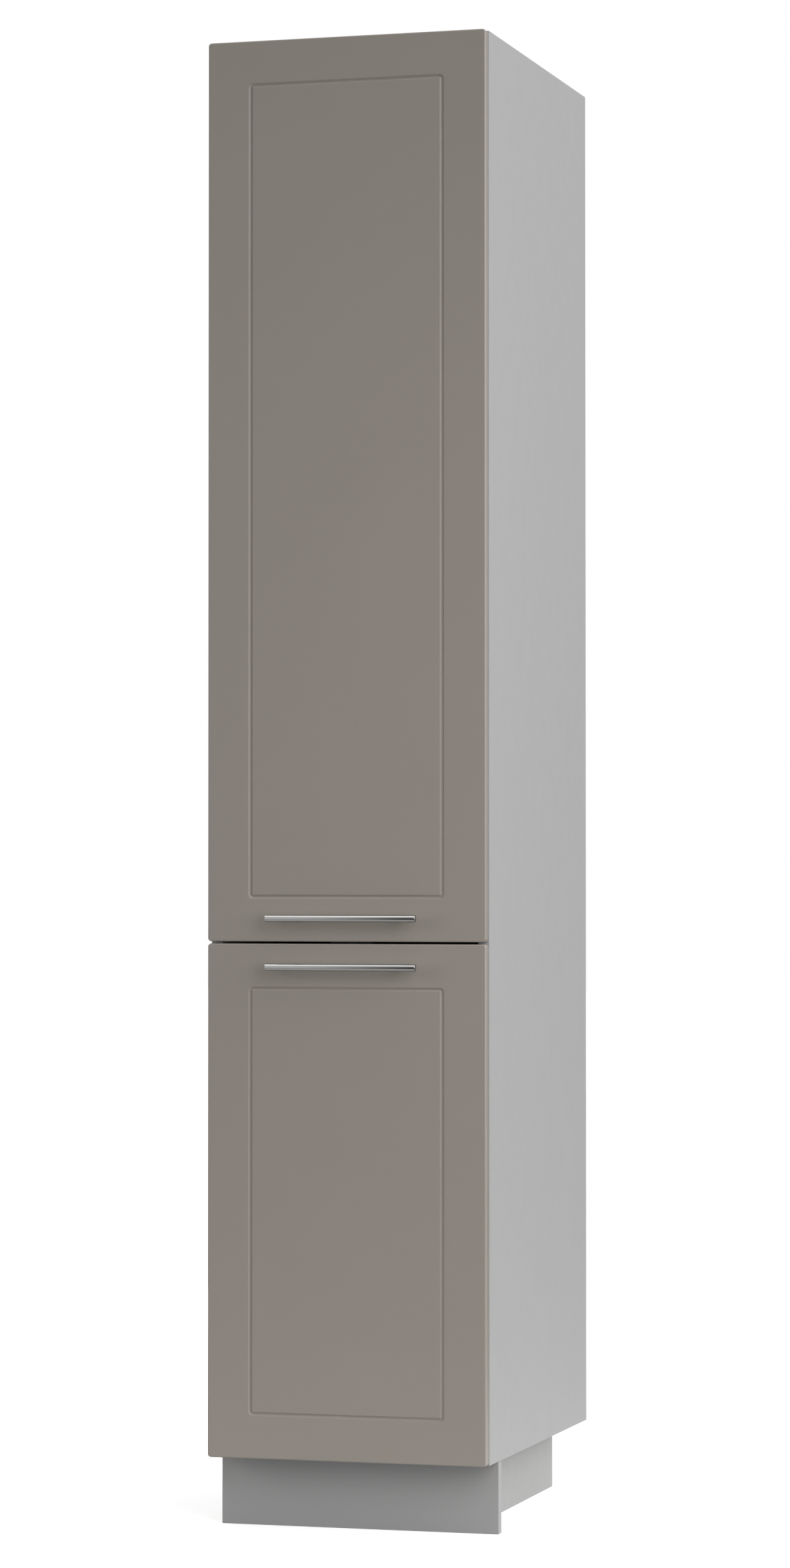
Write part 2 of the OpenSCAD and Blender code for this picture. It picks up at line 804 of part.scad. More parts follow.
module ball_cages(x, z, back_x) {
    for (s = sides) at_runner(s) difference() {
        along_y(cage_y, cage_l) c_section(z + cage_t / 2, back_x, x + ball_d / 2 + 1, cage_t);
        for (y = ball_places(), up = sides)
            rod_z([x, y, up * z - ball_d / 2], ball_d, ball_d + 2 * race_play);
    }
}
module outer_ball_cages() {
    color("#8f9296") ball_cages(outer_ball_x, outer_ball_z, outer_cage_back);
}
module inner_ball_cages() {
    color("#8f9296") ball_cages(inner_ball_x, inner_ball_z, inner_cage_back);
}
module outer_balls() {
    color("#d8dadd") ball_row(outer_ball_x, outer_ball_z);
}
module inner_balls() {
    color("#d8dadd") ball_row(inner_ball_x, inner_ball_z);
}

module runner_base() {
    color("#a9acb0") difference() {
        along_y(runner_y, runner_l) {
            translate([-base_w / 2, floor_z]) square([base_w, plate_t]);
            for (x = [-base_w / 2, base_w / 2 - plate_t]) translate([x, floor_z]) square([plate_t, base_h]);
        }
        for (y = runner_fix_places) rod_x([-base_w, y, runner_z], 2 * base_w, rivet_d + 2 * held_play);
        base_screws(hole = true);
        damper_screws(hole = true);
    }
}

// The soft-close unit is one sealed housing with an open slot for the carriage's catch
module soft_close_unit() {
    color("#55575a") difference() {
        union() {
            centred_block(damper_w, damper_y, damper_z, damper_l, damper_h);
            centred_block(damper_w, damper_y - damper_ear, damper_z, damper_l + 2 * damper_ear, damper_ear_t);
        }
        centred_block(damper_slot_w, damper_y - cut, damper_z + damper_h - damper_slot_depth,
            damper_slot_l + cut, damper_slot_depth + cut);
        damper_screws(hole = true);
    }
}

module carriage() {
    color("#a9acb0") difference() {
        union() {
            along_y(frame_y, frame_l) {
                translate([-carriage_w / 2, carriage_top - plate_t]) square([carriage_w, plate_t]);
                for (x = [-carriage_w / 2, carriage_w / 2 - plate_t])
                    translate([x, carriage_bottom]) square([plate_t, carriage_top - carriage_bottom]);
            }
            centred_block(catch_w, catch_y, catch_bottom, catch_l, carriage_top - catch_bottom - plate_t / 2);
        }
        for (y = runner_fix_places)
            rod_x([-carriage_w, y, runner_z], 2 * carriage_w, rivet_d + 2 * held_play);
        carriage_bolts(hole = true);
    }
}

module carriage_bolts(hole = false) {
    play = hole ? held_play : 0;
    below = carriage_top - plate_t;
    both_hands() for (y = carriage_bolt_places) {
        rod_z([carriage_bolt_x, y, below - (hole ? cut : 0)], plate_t + tube_wall + bolt_reach,
            bolt_d + 2 * play);
        if (!hole) translate([carriage_bolt_x, y, below - bolt_head_h])
            cylinder(d = bolt_d * 1.8, h = bolt_head_h, $fn = 6);
    }
}

module carriage_screws() {
    color("#c3c6ca") {
        carriage_bolts();
        both_hands() for (y = runner_fix_places) {
            rod_x([carriage_w / 2 - plate_t - member_t - 1, y, runner_z], plate_t + member_t + 1, rivet_d);
            rod_x([carriage_w / 2, y, runner_z], 2, rivet_d * 1.9);
        }
    }
}

// ---- frame ----

// A square-cut tube along Y, Z up, from its low corner
module tube_y(z) {
    difference() {
        centred_block(tube_w, frame_y, z, frame_l, tube_d);
        centred_block(tube_w - 2 * tube_wall, frame_y - cut, z + tube_wall,
            frame_l + 2 * cut, tube_d - 2 * tube_wall);
    }
}
module frame_bottom_tube() {
    color("#5d6063") difference() {
        tube_y(carriage_top);
        carriage_bolts(hole = true);
    }
}
module frame_top_tube() {
    color("#5d6063") difference() {
        tube_y(frame_top - tube_d);
        guide_pins(hole = true);
    }
}

// Slots for the hooks of every tray, in the wall that faces the trays
module hook_slots(wall_y) {
    for (z = tray_heights) both_hands()
        block([hook_x - slot_play, wall_y - cut, slot_bottom(z)],
            [hook_w + 2 * slot_play, tube_wall + 2 * cut, slot_h]);
}
function hook_bottom(z) = z - hanger_drop / 2;
function slot_bottom(z) = hook_bottom(z) - slot_play / 2;

module upright_tube(y) {
    difference() {
        centred_block(tube_w, y, upright_bottom, tube_d, upright_top - upright_bottom);
        centred_block(tube_w - 2 * tube_wall, y + tube_wall, upright_bottom - cut,
            tube_d - 2 * tube_wall, upright_top - upright_bottom + 2 * cut);
    }
}
module front_upright() {
    color("#5d6063") difference() {
        upright_tube(frame_y);
        hook_slots(frame_y + tube_d - tube_wall);
        bracket_bolts(hole = true);
    }
}
module rear_upright() {
    color("#5d6063") difference() {
        upright_tube(rear_upright_y);
        hook_slots(rear_upright_y);
    }
}

module tube_plugs() {
    inside_w = tube_w - 2 * tube_wall - 2 * held_play;
    inside_d = tube_d - 2 * tube_wall - 2 * held_play;
    color("#3b3c3e") for (z = [carriage_top, frame_top - tube_d]) {
        centred_block(inside_w, frame_y, z + tube_wall + held_play, plug_l, inside_d);
        centred_block(inside_w, frame_y + frame_l - plug_l, z + tube_wall + held_play, plug_l, inside_d);
        centred_block(tube_w, frame_y + frame_l, z, plug_t, tube_d);
    }
}

// ---- front brackets ----

module bracket_bolts(hole = false) {
    play = hole ? held_play : 0;
    web_y = frame_y - bracket_plate;
    for (z = bracket_heights, up = sides) {
        rod_y([0, web_y - (hole ? cut : 0), z + up * bracket_screw_step], bracket_plate + tube_wall + bolt_reach,
            bolt_d + 2 * play);
        if (!hole) rod_y([0, web_y - bolt_head_h, z + up * bracket_screw_step], bolt_head_h, bolt_d * 1.7);
    }
}
module bracket_wood_screws(hole = false) {
    both_hands() for (z = bracket_heights, up = sides)
        translate([bracket_screw_x, front_back_y + bracket_plate, z + up * bracket_screw_step])
            rotate([-90, 0, 0]) chip_screw(hole);
}

// A hat-shaped plate: two feet on the front's back, and a web on the upright
module front_brackets() {
    color("#b4b7bb") difference() {
        for (z = bracket_heights) translate([0, 0, z - bracket_h / 2]) linear_extrude(bracket_h) {
            for (s = sides) {
                foot_l = bracket_span / 2 - bracket_web_w / 2;
                translate([s > 0 ? bracket_web_w / 2 : -bracket_span / 2, front_back_y])
                    square([foot_l, bracket_plate]);
                translate([s > 0 ? bracket_web_w / 2 - bracket_plate : -bracket_web_w / 2, front_back_y])
                    square([bracket_plate, frame_y - front_back_y]);
            }
            translate([-bracket_web_w / 2, frame_y - bracket_plate]) square([bracket_web_w, bracket_plate]);
        }
        bracket_wood_screws(hole = true);
        bracket_bolts(hole = true);
    }
}
module front_screws() {
    color("#c8c08f") {
        bracket_wood_screws();
        bracket_bolts();
        handle_screw_set();
    }
}

// ---- fronts ----

// The section of a front at its edge: from the corner's centre outwards, and up to the face
module front_edge_section() {
    flat = front_corner_r - front_edge_r;
    square([flat, front_t]);
    square([front_corner_r, front_t - front_edge_r]);
    translate([flat, front_t - front_edge_r]) intersection() {
        circle(r = front_edge_r);
        square(front_edge_r);
    }
}

// Sweeps a section round a rectangle w by h with corners of radius r, on the XY plane
module sweep_rectangle(w, h, r) {
    for (i = [0 : 3]) {
        x = (i == 0 || i == 3 ? 1 : -1) * (w / 2 - r);
        y = (i < 2 ? 1 : -1) * (h / 2 - r);
        translate([x, y, 0]) rotate([0, 0, i * 90]) rotate_extrude(angle = 90) children();
    }
    for (i = [0 : 3]) {
        l = i % 2 == 0 ? h - 2 * r : w - 2 * r;
        out = i % 2 == 0 ? w / 2 - r : h / 2 - r;
        rotate([0, 0, i * 90]) translate([out, l / 2, 0]) rotate([90, 0, 0]) linear_extrude(l) children();
    }
}

// A front lying on its back, with its lower edge at Y 0
module front_board(h) {
    r = front_corner_r;
    translate([0, h / 2, 0]) difference() {
        union() {
            translate([-front_w / 2 + r, -h / 2 + r, 0]) cube([front_w - 2 * r, h - 2 * r, front_t]);
            sweep_rectangle(front_w, h, r) front_edge_section();
        }
        translate([0, 0, front_t])
            sweep_rectangle(front_w - 2 * groove_inset, h - 2 * groove_inset, groove_corner_r)
                translate([groove_corner_r, 0]) circle(r = groove_r);
    }
}

module front(z, h) {
    color("#857f7c") difference() {
        translate([0, front_back_y, z]) rotate([90, 0, 0]) front_board(h);
        bracket_wood_screws(hole = true);
        handle_screw_set(hole = true);
    }
}
module upper_front() {
    front(upper_front_z, upper_front_h);
}
module lower_front() {
    front(plinth_h, lower_front_h);
}

// ---- handles ----

// Machine screws through the fronts into the handle posts
module handle_screw_set(hole = false) {
    play = hole ? held_play : 0;
    for (z = handle_heights) both_hands() {
        rod_y([handle_pitch / 2, face_y - handle_screw_grip - play, z],
            handle_screw_grip + front_t + 2 * play, handle_screw_d + 2 * play);
        if (!hole) rod_y([handle_pitch / 2, front_back_y, z], 2.4, handle_screw_d * 2);
    }
}

// A round bar with softened ends on two posts
module handle(z) {
    end_r = 0.8;
    color("#a8a6a3") difference() {
        translate([0, handle_y, z]) {
            rotate([0, 90, 0]) rotate_extrude() polygon([
                [0, -handle_l / 2], [handle_d / 2 - end_r, -handle_l / 2],
                [handle_d / 2, -handle_l / 2 + end_r], [handle_d / 2, handle_l / 2 - end_r],
                [handle_d / 2 - end_r, handle_l / 2], [0, handle_l / 2],
            ]);
            both_hands() rod_y([handle_pitch / 2, 0, 0], face_y - handle_y, handle_post_d);
        }
        handle_screw_set(hole = true);
    }
}

// ---- top guide ----

module guide_channel() {
    color("#c9ccd0") difference() {
        along_y(channel_y, channel_l) {
            translate([-channel_w / 2 - channel_t, ceiling_z - channel_t])
                square([channel_w + 2 * channel_t, channel_t]);
            for (x = [-channel_w / 2 - channel_t, channel_w / 2])
                translate([x, ceiling_z - channel_h]) square([channel_t, channel_h]);
        }
        channel_screws(hole = true);
    }
}

module guide_pins(hole = false) {
    play = hole ? held_play : 0;
    from = frame_top - tube_wall;
    both_hands() rod_z([roller_x, guide_y, from], roller_z + roller_t + move_play - from,
        guide_pin_d + 2 * play);
}

// The block carries both roller pins, riveted into it
module guide_block() {
    color("#3b3c3e") {
        centred_block(2 * (roller_x + guide_block_rim), guide_y - guide_block_lead, frame_top,
            guide_block_l, guide_block_h);
        both_hands() rod_z([roller_x, guide_y, frame_top], roller_z - move_play - frame_top, pin_head_d);
        guide_pins();
        both_hands() rod_z([roller_x, guide_y, roller_z + roller_t + move_play], pin_head_h, pin_head_d);
    }
}

// A nylon roller with softened edges and a running fit on its pin
module guide_roller(s) {
    edge = 1;
    bore = guide_pin_d / 2 + race_play;
    color("#e8e6e0") translate([s * roller_x, guide_y, roller_z]) rotate_extrude() polygon([
        [bore, 0], [roller_r - edge, 0], [roller_r, edge], [roller_r, roller_t - edge],
        [roller_r - edge, roller_t], [bore, roller_t],
    ]);
}

// ---- trays ----

// One closed wire loop round the tray at a height
module gallery_ring(z) {
    w = 2 * ring_half;
    translate([0, ring_y + ring_l / 2, z])
        sweep_rectangle(w, ring_l, gallery_corner_r)
            translate([gallery_corner_r, 0]) circle(d = wire_d, $fn = 32);
}

// A hook reaches through the upright's wall and down behind it
module hook(z) {
    reach = hanger_t + move_play + tube_wall + move_play + hook_t;
    bottom = hook_bottom(z);
    both_hands() {
        block([hook_x, hanger_y + hanger_t - reach, bottom], [hook_w, reach, hook_h]);
        block([hook_x, hanger_y + hanger_t - reach, bottom - hook_tongue], [hook_w, hook_t, hook_tongue + hook_h]);
    }
}

module tray_end(z) {
    centred_block(hanger_w, hanger_y, z - hanger_drop, hanger_t, hanger_drop + tray_board_t + gallery_low);
    hook(z);
}

// A cross wire lies under the board and rises at both sides to the upper loop
module cross_wire(y, low, top) {
    rod_x([bend_r - ring_half, y, low], 2 * (ring_half - bend_r), post_d);
    both_hands() {
        translate([ring_half - bend_r, y, low + bend_r]) rotate([90, 0, 0]) rotate([0, 0, -90])
            rotate_extrude(angle = 90) translate([bend_r, 0]) circle(d = post_d, $fn = 32);
        rod_z([ring_half, y, low + bend_r], top - low - bend_r, post_d);
    }
}

// Mirrors the front end of a tray to its rear
module both_ends() {
    children();
    translate([0, 2 * clear_y + clear_l, 0]) mirror([0, 1, 0]) children();
}

module tray_wires(i) {
    z = tray_heights[i];
    board_top = z + tray_board_t;
    wire_z = z - post_d / 2 - held_play;
    color("#d5d7da") {
        both_ends() tray_end(z);
        both_hands() block([support_x, hanger_y, z - support_t], [support_w, clear_l - 2 * move_play, support_t]);
        for (k = cross_wires) cross_wire(ring_y + k * ring_l, wire_z, board_top + gallery_high);
        gallery_ring(board_top + gallery_low);
        gallery_ring(board_top + gallery_high);
        both_ends() both_hands()
            rod_z([hanger_w / 2 - wire_d, ring_y, board_top + gallery_low], gallery_high - gallery_low, post_d);
    }
}

module tray_board(i) {
    end_play = 0.2;
    l = tray_inner_l - 2 * end_play;
    color("#dcdcd8") block([-tray_board_w / 2, hanger_y + hanger_t + end_play, tray_heights[i]],
        [tray_board_w, l, tray_board_t]);
}

// ---- what is drawn ----

side_left();
side_right();
top_panel();
bottom_panel();
back_panel();
rear_rails();
edge_bands();
carcass_dowels();
cam_fittings();
front_bumpers();
plinth_front();
plinth_side_left();
plinth_side_right();
plinth_brackets();
plinth_clips();
foot_sockets();
for (i = [0 : 3]) foot(i);
chipboard_screws();
runner_base();
runner_outer_side(-1);  // runner_outer_left
runner_outer_side(1);  // runner_outer_right
guide_channel();
soft_close_unit();
runner_middle_side(-1);  // runner_middle_left
runner_middle_side(1);  // runner_middle_right
outer_ball_cages();
outer_balls();
inner_ball_cages();
inner_balls();
runner_inner_side(-1);  // runner_inner_left
runner_inner_side(1);  // runner_inner_right
carriage();
carriage_screws();
frame_bottom_tube();
frame_top_tube();
front_upright();
rear_upright();
tube_plugs();
front_brackets();
front_screws();
upper_front();
lower_front();
handle(handle_heights[0]);  // upper_handle
handle(handle_heights[1]);  // lower_handle
guide_block();
guide_roller(-1);  // guide_roller_left
guide_roller(1);  // guide_roller_right
for (i = [0 : tray_count - 1]) {
    tray_wires(i);
    tray_board(i);
}
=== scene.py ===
import itertools
import json
import math

import bmesh
import bpy
from mathutils import Euler, Matrix, Vector

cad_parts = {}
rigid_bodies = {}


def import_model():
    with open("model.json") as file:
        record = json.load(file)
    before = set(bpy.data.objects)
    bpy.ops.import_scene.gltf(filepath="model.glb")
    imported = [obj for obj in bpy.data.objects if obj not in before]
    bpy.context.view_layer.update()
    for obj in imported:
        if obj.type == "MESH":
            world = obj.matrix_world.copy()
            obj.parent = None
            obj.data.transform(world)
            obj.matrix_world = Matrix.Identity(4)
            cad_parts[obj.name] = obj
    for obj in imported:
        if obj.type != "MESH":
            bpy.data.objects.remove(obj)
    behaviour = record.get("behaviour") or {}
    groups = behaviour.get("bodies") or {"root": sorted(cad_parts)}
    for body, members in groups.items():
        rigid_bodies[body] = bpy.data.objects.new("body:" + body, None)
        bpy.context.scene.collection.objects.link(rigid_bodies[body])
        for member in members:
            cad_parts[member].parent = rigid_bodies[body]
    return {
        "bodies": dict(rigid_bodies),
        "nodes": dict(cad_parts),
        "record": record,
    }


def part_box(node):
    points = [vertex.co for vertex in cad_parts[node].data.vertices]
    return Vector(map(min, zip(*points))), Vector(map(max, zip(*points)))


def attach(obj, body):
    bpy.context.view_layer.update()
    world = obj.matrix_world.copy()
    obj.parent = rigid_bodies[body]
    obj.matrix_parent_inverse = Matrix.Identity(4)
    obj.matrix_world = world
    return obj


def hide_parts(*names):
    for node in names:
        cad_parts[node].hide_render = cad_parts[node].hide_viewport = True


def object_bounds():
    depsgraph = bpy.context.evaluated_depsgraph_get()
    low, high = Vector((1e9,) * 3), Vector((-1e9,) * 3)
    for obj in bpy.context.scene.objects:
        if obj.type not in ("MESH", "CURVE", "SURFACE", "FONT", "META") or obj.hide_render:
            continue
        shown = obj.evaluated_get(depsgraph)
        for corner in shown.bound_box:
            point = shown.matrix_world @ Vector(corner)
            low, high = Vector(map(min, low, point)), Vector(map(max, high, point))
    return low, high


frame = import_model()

bl_info = {
    "name": "Pull-out Larder Unit",
    "version": (1, 0, 0),
    "blender": (4, 5, 0),
    "location": "3D View > Sidebar > Larder",
    "description": "Dresses a tall larder unit: grooved fronts, bar handles, boards, runners and wire trays",
    "category": "Object",
}

MM = 0.001
CAD_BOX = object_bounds()
BODY_OF = {node: body for body, nodes in frame["record"]["behaviour"]["bodies"].items() for node in nodes}
SLOT_OF = {part["node"]: part["material_slot"] for part in frame["record"]["subparts"]}
MERGE = 0.002 * MM
ROUND_STEPS = 32
# Faces within this angle of each other, in degrees, are one flat face.
FLAT_ANGLE = 0.4
# A face points along a direction when the cosine between them is over this.
ALONG = 0.9
BACKWARDS = ((0, 1, 0),)
SIDEWAYS = ((1, 0, 0), (-1, 0, 0))
UP_DOWN = ((0, 0, 1), (0, 0, -1))
TRAYS = sorted(body for body in frame["bodies"] if body.startswith("tray_"))
FEET = sorted(node for node in frame["nodes"] if node.startswith("foot_") and node != "foot_sockets")


def linear(hex_colour):
    """An sRGB hex colour as linear red, green and blue."""
    channels = [int(hex_colour[i:i + 2], 16) / 255 for i in (1, 3, 5)]
    return tuple(c / 12.92 if c <= 0.04045 else ((c + 0.055) / 1.055) ** 2.4 for c in channels)


def shade(colour, share):
    """A linear colour made darker or lighter by a share."""
    return tuple(min(1.0, c * (1 + share)) for c in colour)


# ---- sizes and colours that a user would change ----


def length(label, words, default):
    return bpy.props.FloatProperty(
        name=label, description=words, default=default, unit="LENGTH", precision=4)


def colour(label, words, default):
    return bpy.props.FloatVectorProperty(
        name=label, description=words, default=linear(default), subtype="COLOR", size=3, min=0.0, max=1.0)


class LarderSizes(bpy.types.PropertyGroup):
    """Sizes of the finish, on top of the construction's own sizes."""
    front_corner: length("Front corner", "Radius of a front's corners seen from the front", 4.5 * MM)
    front_edge: length("Front edge", "Rounding of a front's face edge", 2.0 * MM)
    groove_inset: length("Groove inset", "Distance from a front's edge to its groove's middle", 62.0 * MM)
    groove_width: length("Groove width", "Width of the groove over its softened lips", 6.4 * MM)
    groove_depth: length("Groove depth", "Depth of the groove", 2.3 * MM)
    groove_corner: length("Groove corner", "Radius of the groove's middle line at its corners", 3.4 * MM)
    board_edge: length("Board edge", "Rounding of the boards' edges", 0.45 * MM)
    sheet_edge: length("Sheet edge", "Rounding of the sheet metal's edges", 0.25 * MM)
    moulding_edge: length("Moulding edge", "Rounding of the plastic mouldings' edges", 0.6 * MM)
    handle_edge: length("Handle edge", "Chamfer of a handle bar's ends", 0.4 * MM)
    thread_pitch: length("Thread pitch", "Pitch of the feet's threads", 2.5 * MM)
    thread_depth: length("Thread depth", "Depth of the feet's threads", 0.7 * MM)
    wire: length("Wire", "Diameter of the trays' gallery wires", 5.0 * MM)
    cross_wire: length("Cross wire", "Diameter of the trays' cross wires and posts", 4.4 * MM)
    gallery_corner: length("Gallery corner", "Radius of the gallery's corners", 22.0 * MM)
    cross_bend: length("Cross bend", "Radius of the cross wires' bends", 8.0 * MM)
    gallery_low: length("Lower wire", "Height of the lower gallery wire over the tray's board", 26.0 * MM)


class LarderColours(bpy.types.PropertyGroup):
    """Colours of the main finishes."""
    front: colour("Fronts", "Lacquer of the two fronts", "#a39c94")
    carcass: colour("Carcass", "Melamine of the carcass boards", "#acacac")
    # The banding colour is a touch brighter than the carcass: partly its own tone, partly a painted
    # highlight on the rounded edges.
    banding: colour("Banding", "Banding on the boards' front edges", "#b2b2b5")
    plinth: colour("Plinth", "Melamine of the plinth boards", "#acacac")
    handle: colour("Handles", "Steel of the handles", "#ababaa")
    frame_coat: colour("Frame", "Powder coat of the pull-out frame", "#5d6063")
    tray_board: colour("Tray boards", "Melamine of the trays' boards", "#dcdbd6")
    floor: colour("Floor", "Studio floor", "#f4f4f4")


# ---- materials ----


def add(tree, kind, inputs=None, **settings):
    """Adds a node with its settings, and links or sets its inputs."""
    made = tree.nodes.new(kind)
    for name, value in settings.items():
        setattr(made, name, value)
    for name, value in (inputs or {}).items():
        if isinstance(value, bpy.types.NodeSocket):
            tree.links.new(value, made.inputs[name])
        else:
            made.inputs[name].default_value = value
    return made


CLOUDS = "ShaderNodeTexNoise"
CELLS = "ShaderNodeTexVoronoi"
# The values between which most of a cloud pattern lies.
BAND = (0.3, 0.7)


class Finish:
    """A material whose patterns all lie on Object coordinates, with their sizes in metres."""

    def __init__(self, name, base, roughness, metallic=0.0, **constants):
        self.material = bpy.data.materials.new(name)
        self.material.use_nodes = True
        self.tree = self.material.node_tree
        self.shader = self.tree.nodes["Principled BSDF"]
        self.base = base
        self.shader.inputs["Base Color"].default_value = (*base, 1.0)
        self.shader.inputs["Roughness"].default_value = roughness
        self.shader.inputs["Metallic"].default_value = metallic
        for name, value in constants.items():
            self.shader.inputs[name.replace("_", " ")].default_value = value
        self.where = add(self.tree, "ShaderNodeTexCoord").outputs["Object"]
        self.normal = None

    def pattern(self, kind, size, stretch=(1, 1, 1), output=0, **inputs):
        """A pattern with features of a size, drawn out along an axis where its share is small."""
        spread = add(self.tree, "ShaderNodeMapping", {"Vector": self.where, "Scale": stretch})
        made = add(self.tree, kind, {"Vector": spread.outputs[0], "Scale": 1 / size, **inputs})
        return made.outputs[output]

    def tones(self, pattern, *stops):
        """Colours the surface by a pattern, through colours at even steps over the band."""
        ramp = add(self.tree, "ShaderNodeValToRGB", {"Fac": pattern})
        elements = ramp.color_ramp.elements
        low, high = BAND
        while len(elements) < len(stops):
            elements.new(0.5)
        for i, stop in enumerate(stops):
            elements[i].position = low + (high - low) * i / (len(stops) - 1)
            elements[i].color = (*stop, 1.0)
        self.tree.links.new(ramp.outputs["Color"], self.shader.inputs["Base Color"])
        return self

    def drift(self, spread, size):
        """Lets the base colour wander by a share over patches of a size."""
        clouds = self.pattern(CLOUDS, size, Detail=3.0)
        return self.tones(clouds, shade(self.base, -spread), shade(self.base, spread))

    def gloss(self, pattern, low, high):
        """Lets a pattern move the roughness between two values."""
        spread = add(self.tree, "ShaderNodeMapRange", {
            "Value": pattern, "From Min": BAND[0], "From Max": BAND[1], "To Min": low, "To Max": high})
        self.tree.links.new(spread.outputs["Result"], self.shader.inputs["Roughness"])
        return self

    def relief(self, pattern, height):
        """Raises the surface by a pattern."""
        bump = add(self.tree, "ShaderNodeBump", {"Height": pattern, "Distance": height, "Strength": 1.0})
        if self.normal is not None:
            self.tree.links.new(self.normal, bump.inputs["Normal"])
        self.normal = bump.outputs["Normal"]
        self.tree.links.new(self.normal, self.shader.inputs["Normal"])
        return self

    def grain(self, size, height, **inputs):
        """Raises the surface in clouds of a size."""
        return self.relief(self.pattern(CLOUDS, size, **inputs), height)


def matt_lacquer(colours):
    # Sprayed polyurethane lacquer on fibreboard: matt, with a faint orange peel. The peel is under
    # 1 mm wide in truth, and is drawn at 2 mm so that the sheen breaks up a little.
    made = Finish("matt_lacquered_fibreboard", tuple(colours.front), 0.36, Specular_IOR_Level=0.5)
    made.drift(0.008, 140 * MM)
    made.gloss(made.pattern(CLOUDS, 60 * MM, Detail=3.0), 0.34, 0.38)
    return made.grain(2.0 * MM, 0.006 * MM, Detail=1.0)


def melamine(name, base):
    """Melamine paper pressed on chipboard: an even, slightly pearled surface."""
    made = Finish(name, base, 0.52, Specular_IOR_Level=0.4)
    made.drift(0.005, 60 * MM)
    made.gloss(made.pattern(CLOUDS, 35 * MM), 0.48, 0.56)
    return made.grain(1.6 * MM, 0.005 * MM, Detail=1.0)


def carcass_melamine(colours):
    # Light grey pressed paper: flat and even, with the soft pearl of the press plate.
    return melamine("grey_melamine_chipboard", tuple(colours.carcass))


def plinth_melamine(colours):
    # The same pressed paper as on the carcass boards.
    return melamine("plinth_melamine_chipboard", tuple(colours.plinth))


def tray_melamine(colours):
    # Off-white pressed paper with a coarser anti-slip pearl.
    made = melamine("tray_melamine_board", tuple(colours.tray_board))
    return made.relief(made.pattern(CELLS, 2.4 * MM), 0.02 * MM)


def raw_chipboard(_colours):
    # Sawn chipboard: pale and dark chips 2 to 5 mm long, torn out a little at the cut.
    made = Finish("sawn_chipboard", linear("#c4a276"), 0.85)
    chips = made.pattern(CELLS, 3.4 * MM, (1, 1, 1.7), "Color")
    made.tones(chips, linear("#a07d54"), linear("#c4a276"), linear("#dac097"), linear("#b3905f"))
    return made.relief(chips, 0.12 * MM)


def banding(colours):
    # Extruded ABS edge strip: satin, with a scraped radius. Its colour is a touch brighter than the board:
    # partly the strip's own tone, partly a painted highlight of the light that its rounded edge catches.
    made = Finish("abs_edge_banding", tuple(colours.banding), 0.34)
    made.drift(0.008, 60 * MM)
    return made.grain(1.2 * MM, 0.008 * MM, stretch=(1, 1, 0.05))


def coated_hardboard(_colours):
    # Thin white-grey lacquer printed on hardboard: smooth, with a trace of fibre.
    made = Finish("coated_hardboard", linear("#c6c6c3"), 0.48)
    made.drift(0.015, 50 * MM)
    return made.grain(2.2 * MM, 0.01 * MM, Detail=4.0)


def raw_hardboard(_colours):
    # The board's bare side: brown pressed fibre with lighter threads in it.
    made = Finish("bare_hardboard", linear("#977654"), 0.72)
    fibres = made.pattern(CLOUDS, 2.5 * MM, stretch=(1, 1, 0.5), Detail=8.0)
    made.tones(fibres, linear("#8a6b4c"), linear("#977654"), linear("#a5855f"))
    return made.relief(fibres, 0.03 * MM)


def brushed_stainless(colours):
    # Stainless bar polished along its length: nearly a mirror across, a soft streak along.
    made = Finish("polished_stainless_steel", tuple(colours.handle), 0.13, metallic=1.0)
    streaks = made.pattern(CLOUDS, 1.2 * MM, stretch=(0.02, 1, 1), Detail=1.0)
    return made.gloss(streaks, 0.11, 0.15)


def zinc_sheet(_colours):
    # Zinc-plated steel sheet: dull bright metal, with spangles some 5 mm wide just to be seen.
    made = Finish("zinc_plated_sheet", linear("#bfc2c6"), 0.32, metallic=1.0)
    spangle = made.pattern(CELLS, 5 * MM, output="Color")
    made.tones(spangle, linear("#bcbfc3"), linear("#c0c3c7"), linear("#c4c7ca"))
    return made.gloss(spangle, 0.3, 0.34)


def zinc_casting(_colours):
    # Die-cast zinc: grey and slightly orange-peeled from the mould.
    made = Finish("die_cast_zinc", linear("#a9abae"), 0.4, metallic=1.0)
    made.drift(0.05, 4 * MM)
    return made.grain(1.0 * MM, 0.02 * MM)


def yellow_zinc(_colours):
    # Yellow-passivated zinc: a thin film that shifts from straw to green and rose.
    made = Finish("yellow_passivated_zinc", linear("#cdbd78"), 0.3, metallic=1.0)
    film = made.pattern(CLOUDS, 3.5 * MM, Detail=2.0)
    return made.tones(film, linear("#b9b884"), linear("#d2bf76"), linear("#c9a88c"))


def powder_coat(colours):
    # Graphite powder coat: satin dark grey with metal flake and a fine pebbled skin.
    made = Finish("graphite_powder_coat", tuple(colours.frame_coat), 0.42, metallic=0.55)
    made.drift(0.02, 1.1 * MM)
    return made.grain(1.3 * MM, 0.012 * MM, Detail=2.0)


def chrome_wire(_colours):
    # Bright chrome on drawn wire: a mirror, with the draw marks just to be seen.
    made = Finish("chrome_plated_wire", linear("#dfe1e4"), 0.08, metallic=1.0)
    made.gloss(made.pattern(CLOUDS, 14 * MM), 0.05, 0.12)
    return made.grain(2.0 * MM, 0.004 * MM)


def anodised_aluminium(_colours):
    # Extruded and anodised: satin, with die lines along the profile.
    made = Finish("anodised_aluminium", linear("#babcc0"), 0.34, metallic=1.0)
    lines = made.pattern(CLOUDS, 0.8 * MM, stretch=(1, 0.01, 1), Detail=3.0)
    made.gloss(lines, 0.28, 0.4)
    return made.relief(lines, 0.004 * MM)


def polished_ball(_colours):
    # Hardened and polished bearing steel: a dark, clean mirror with oil on it.
    made = Finish("bearing_steel", linear("#c9cbce"), 0.06, metallic=1.0)
    return made.gloss(made.pattern(CLOUDS, 3 * MM), 0.04, 0.1)


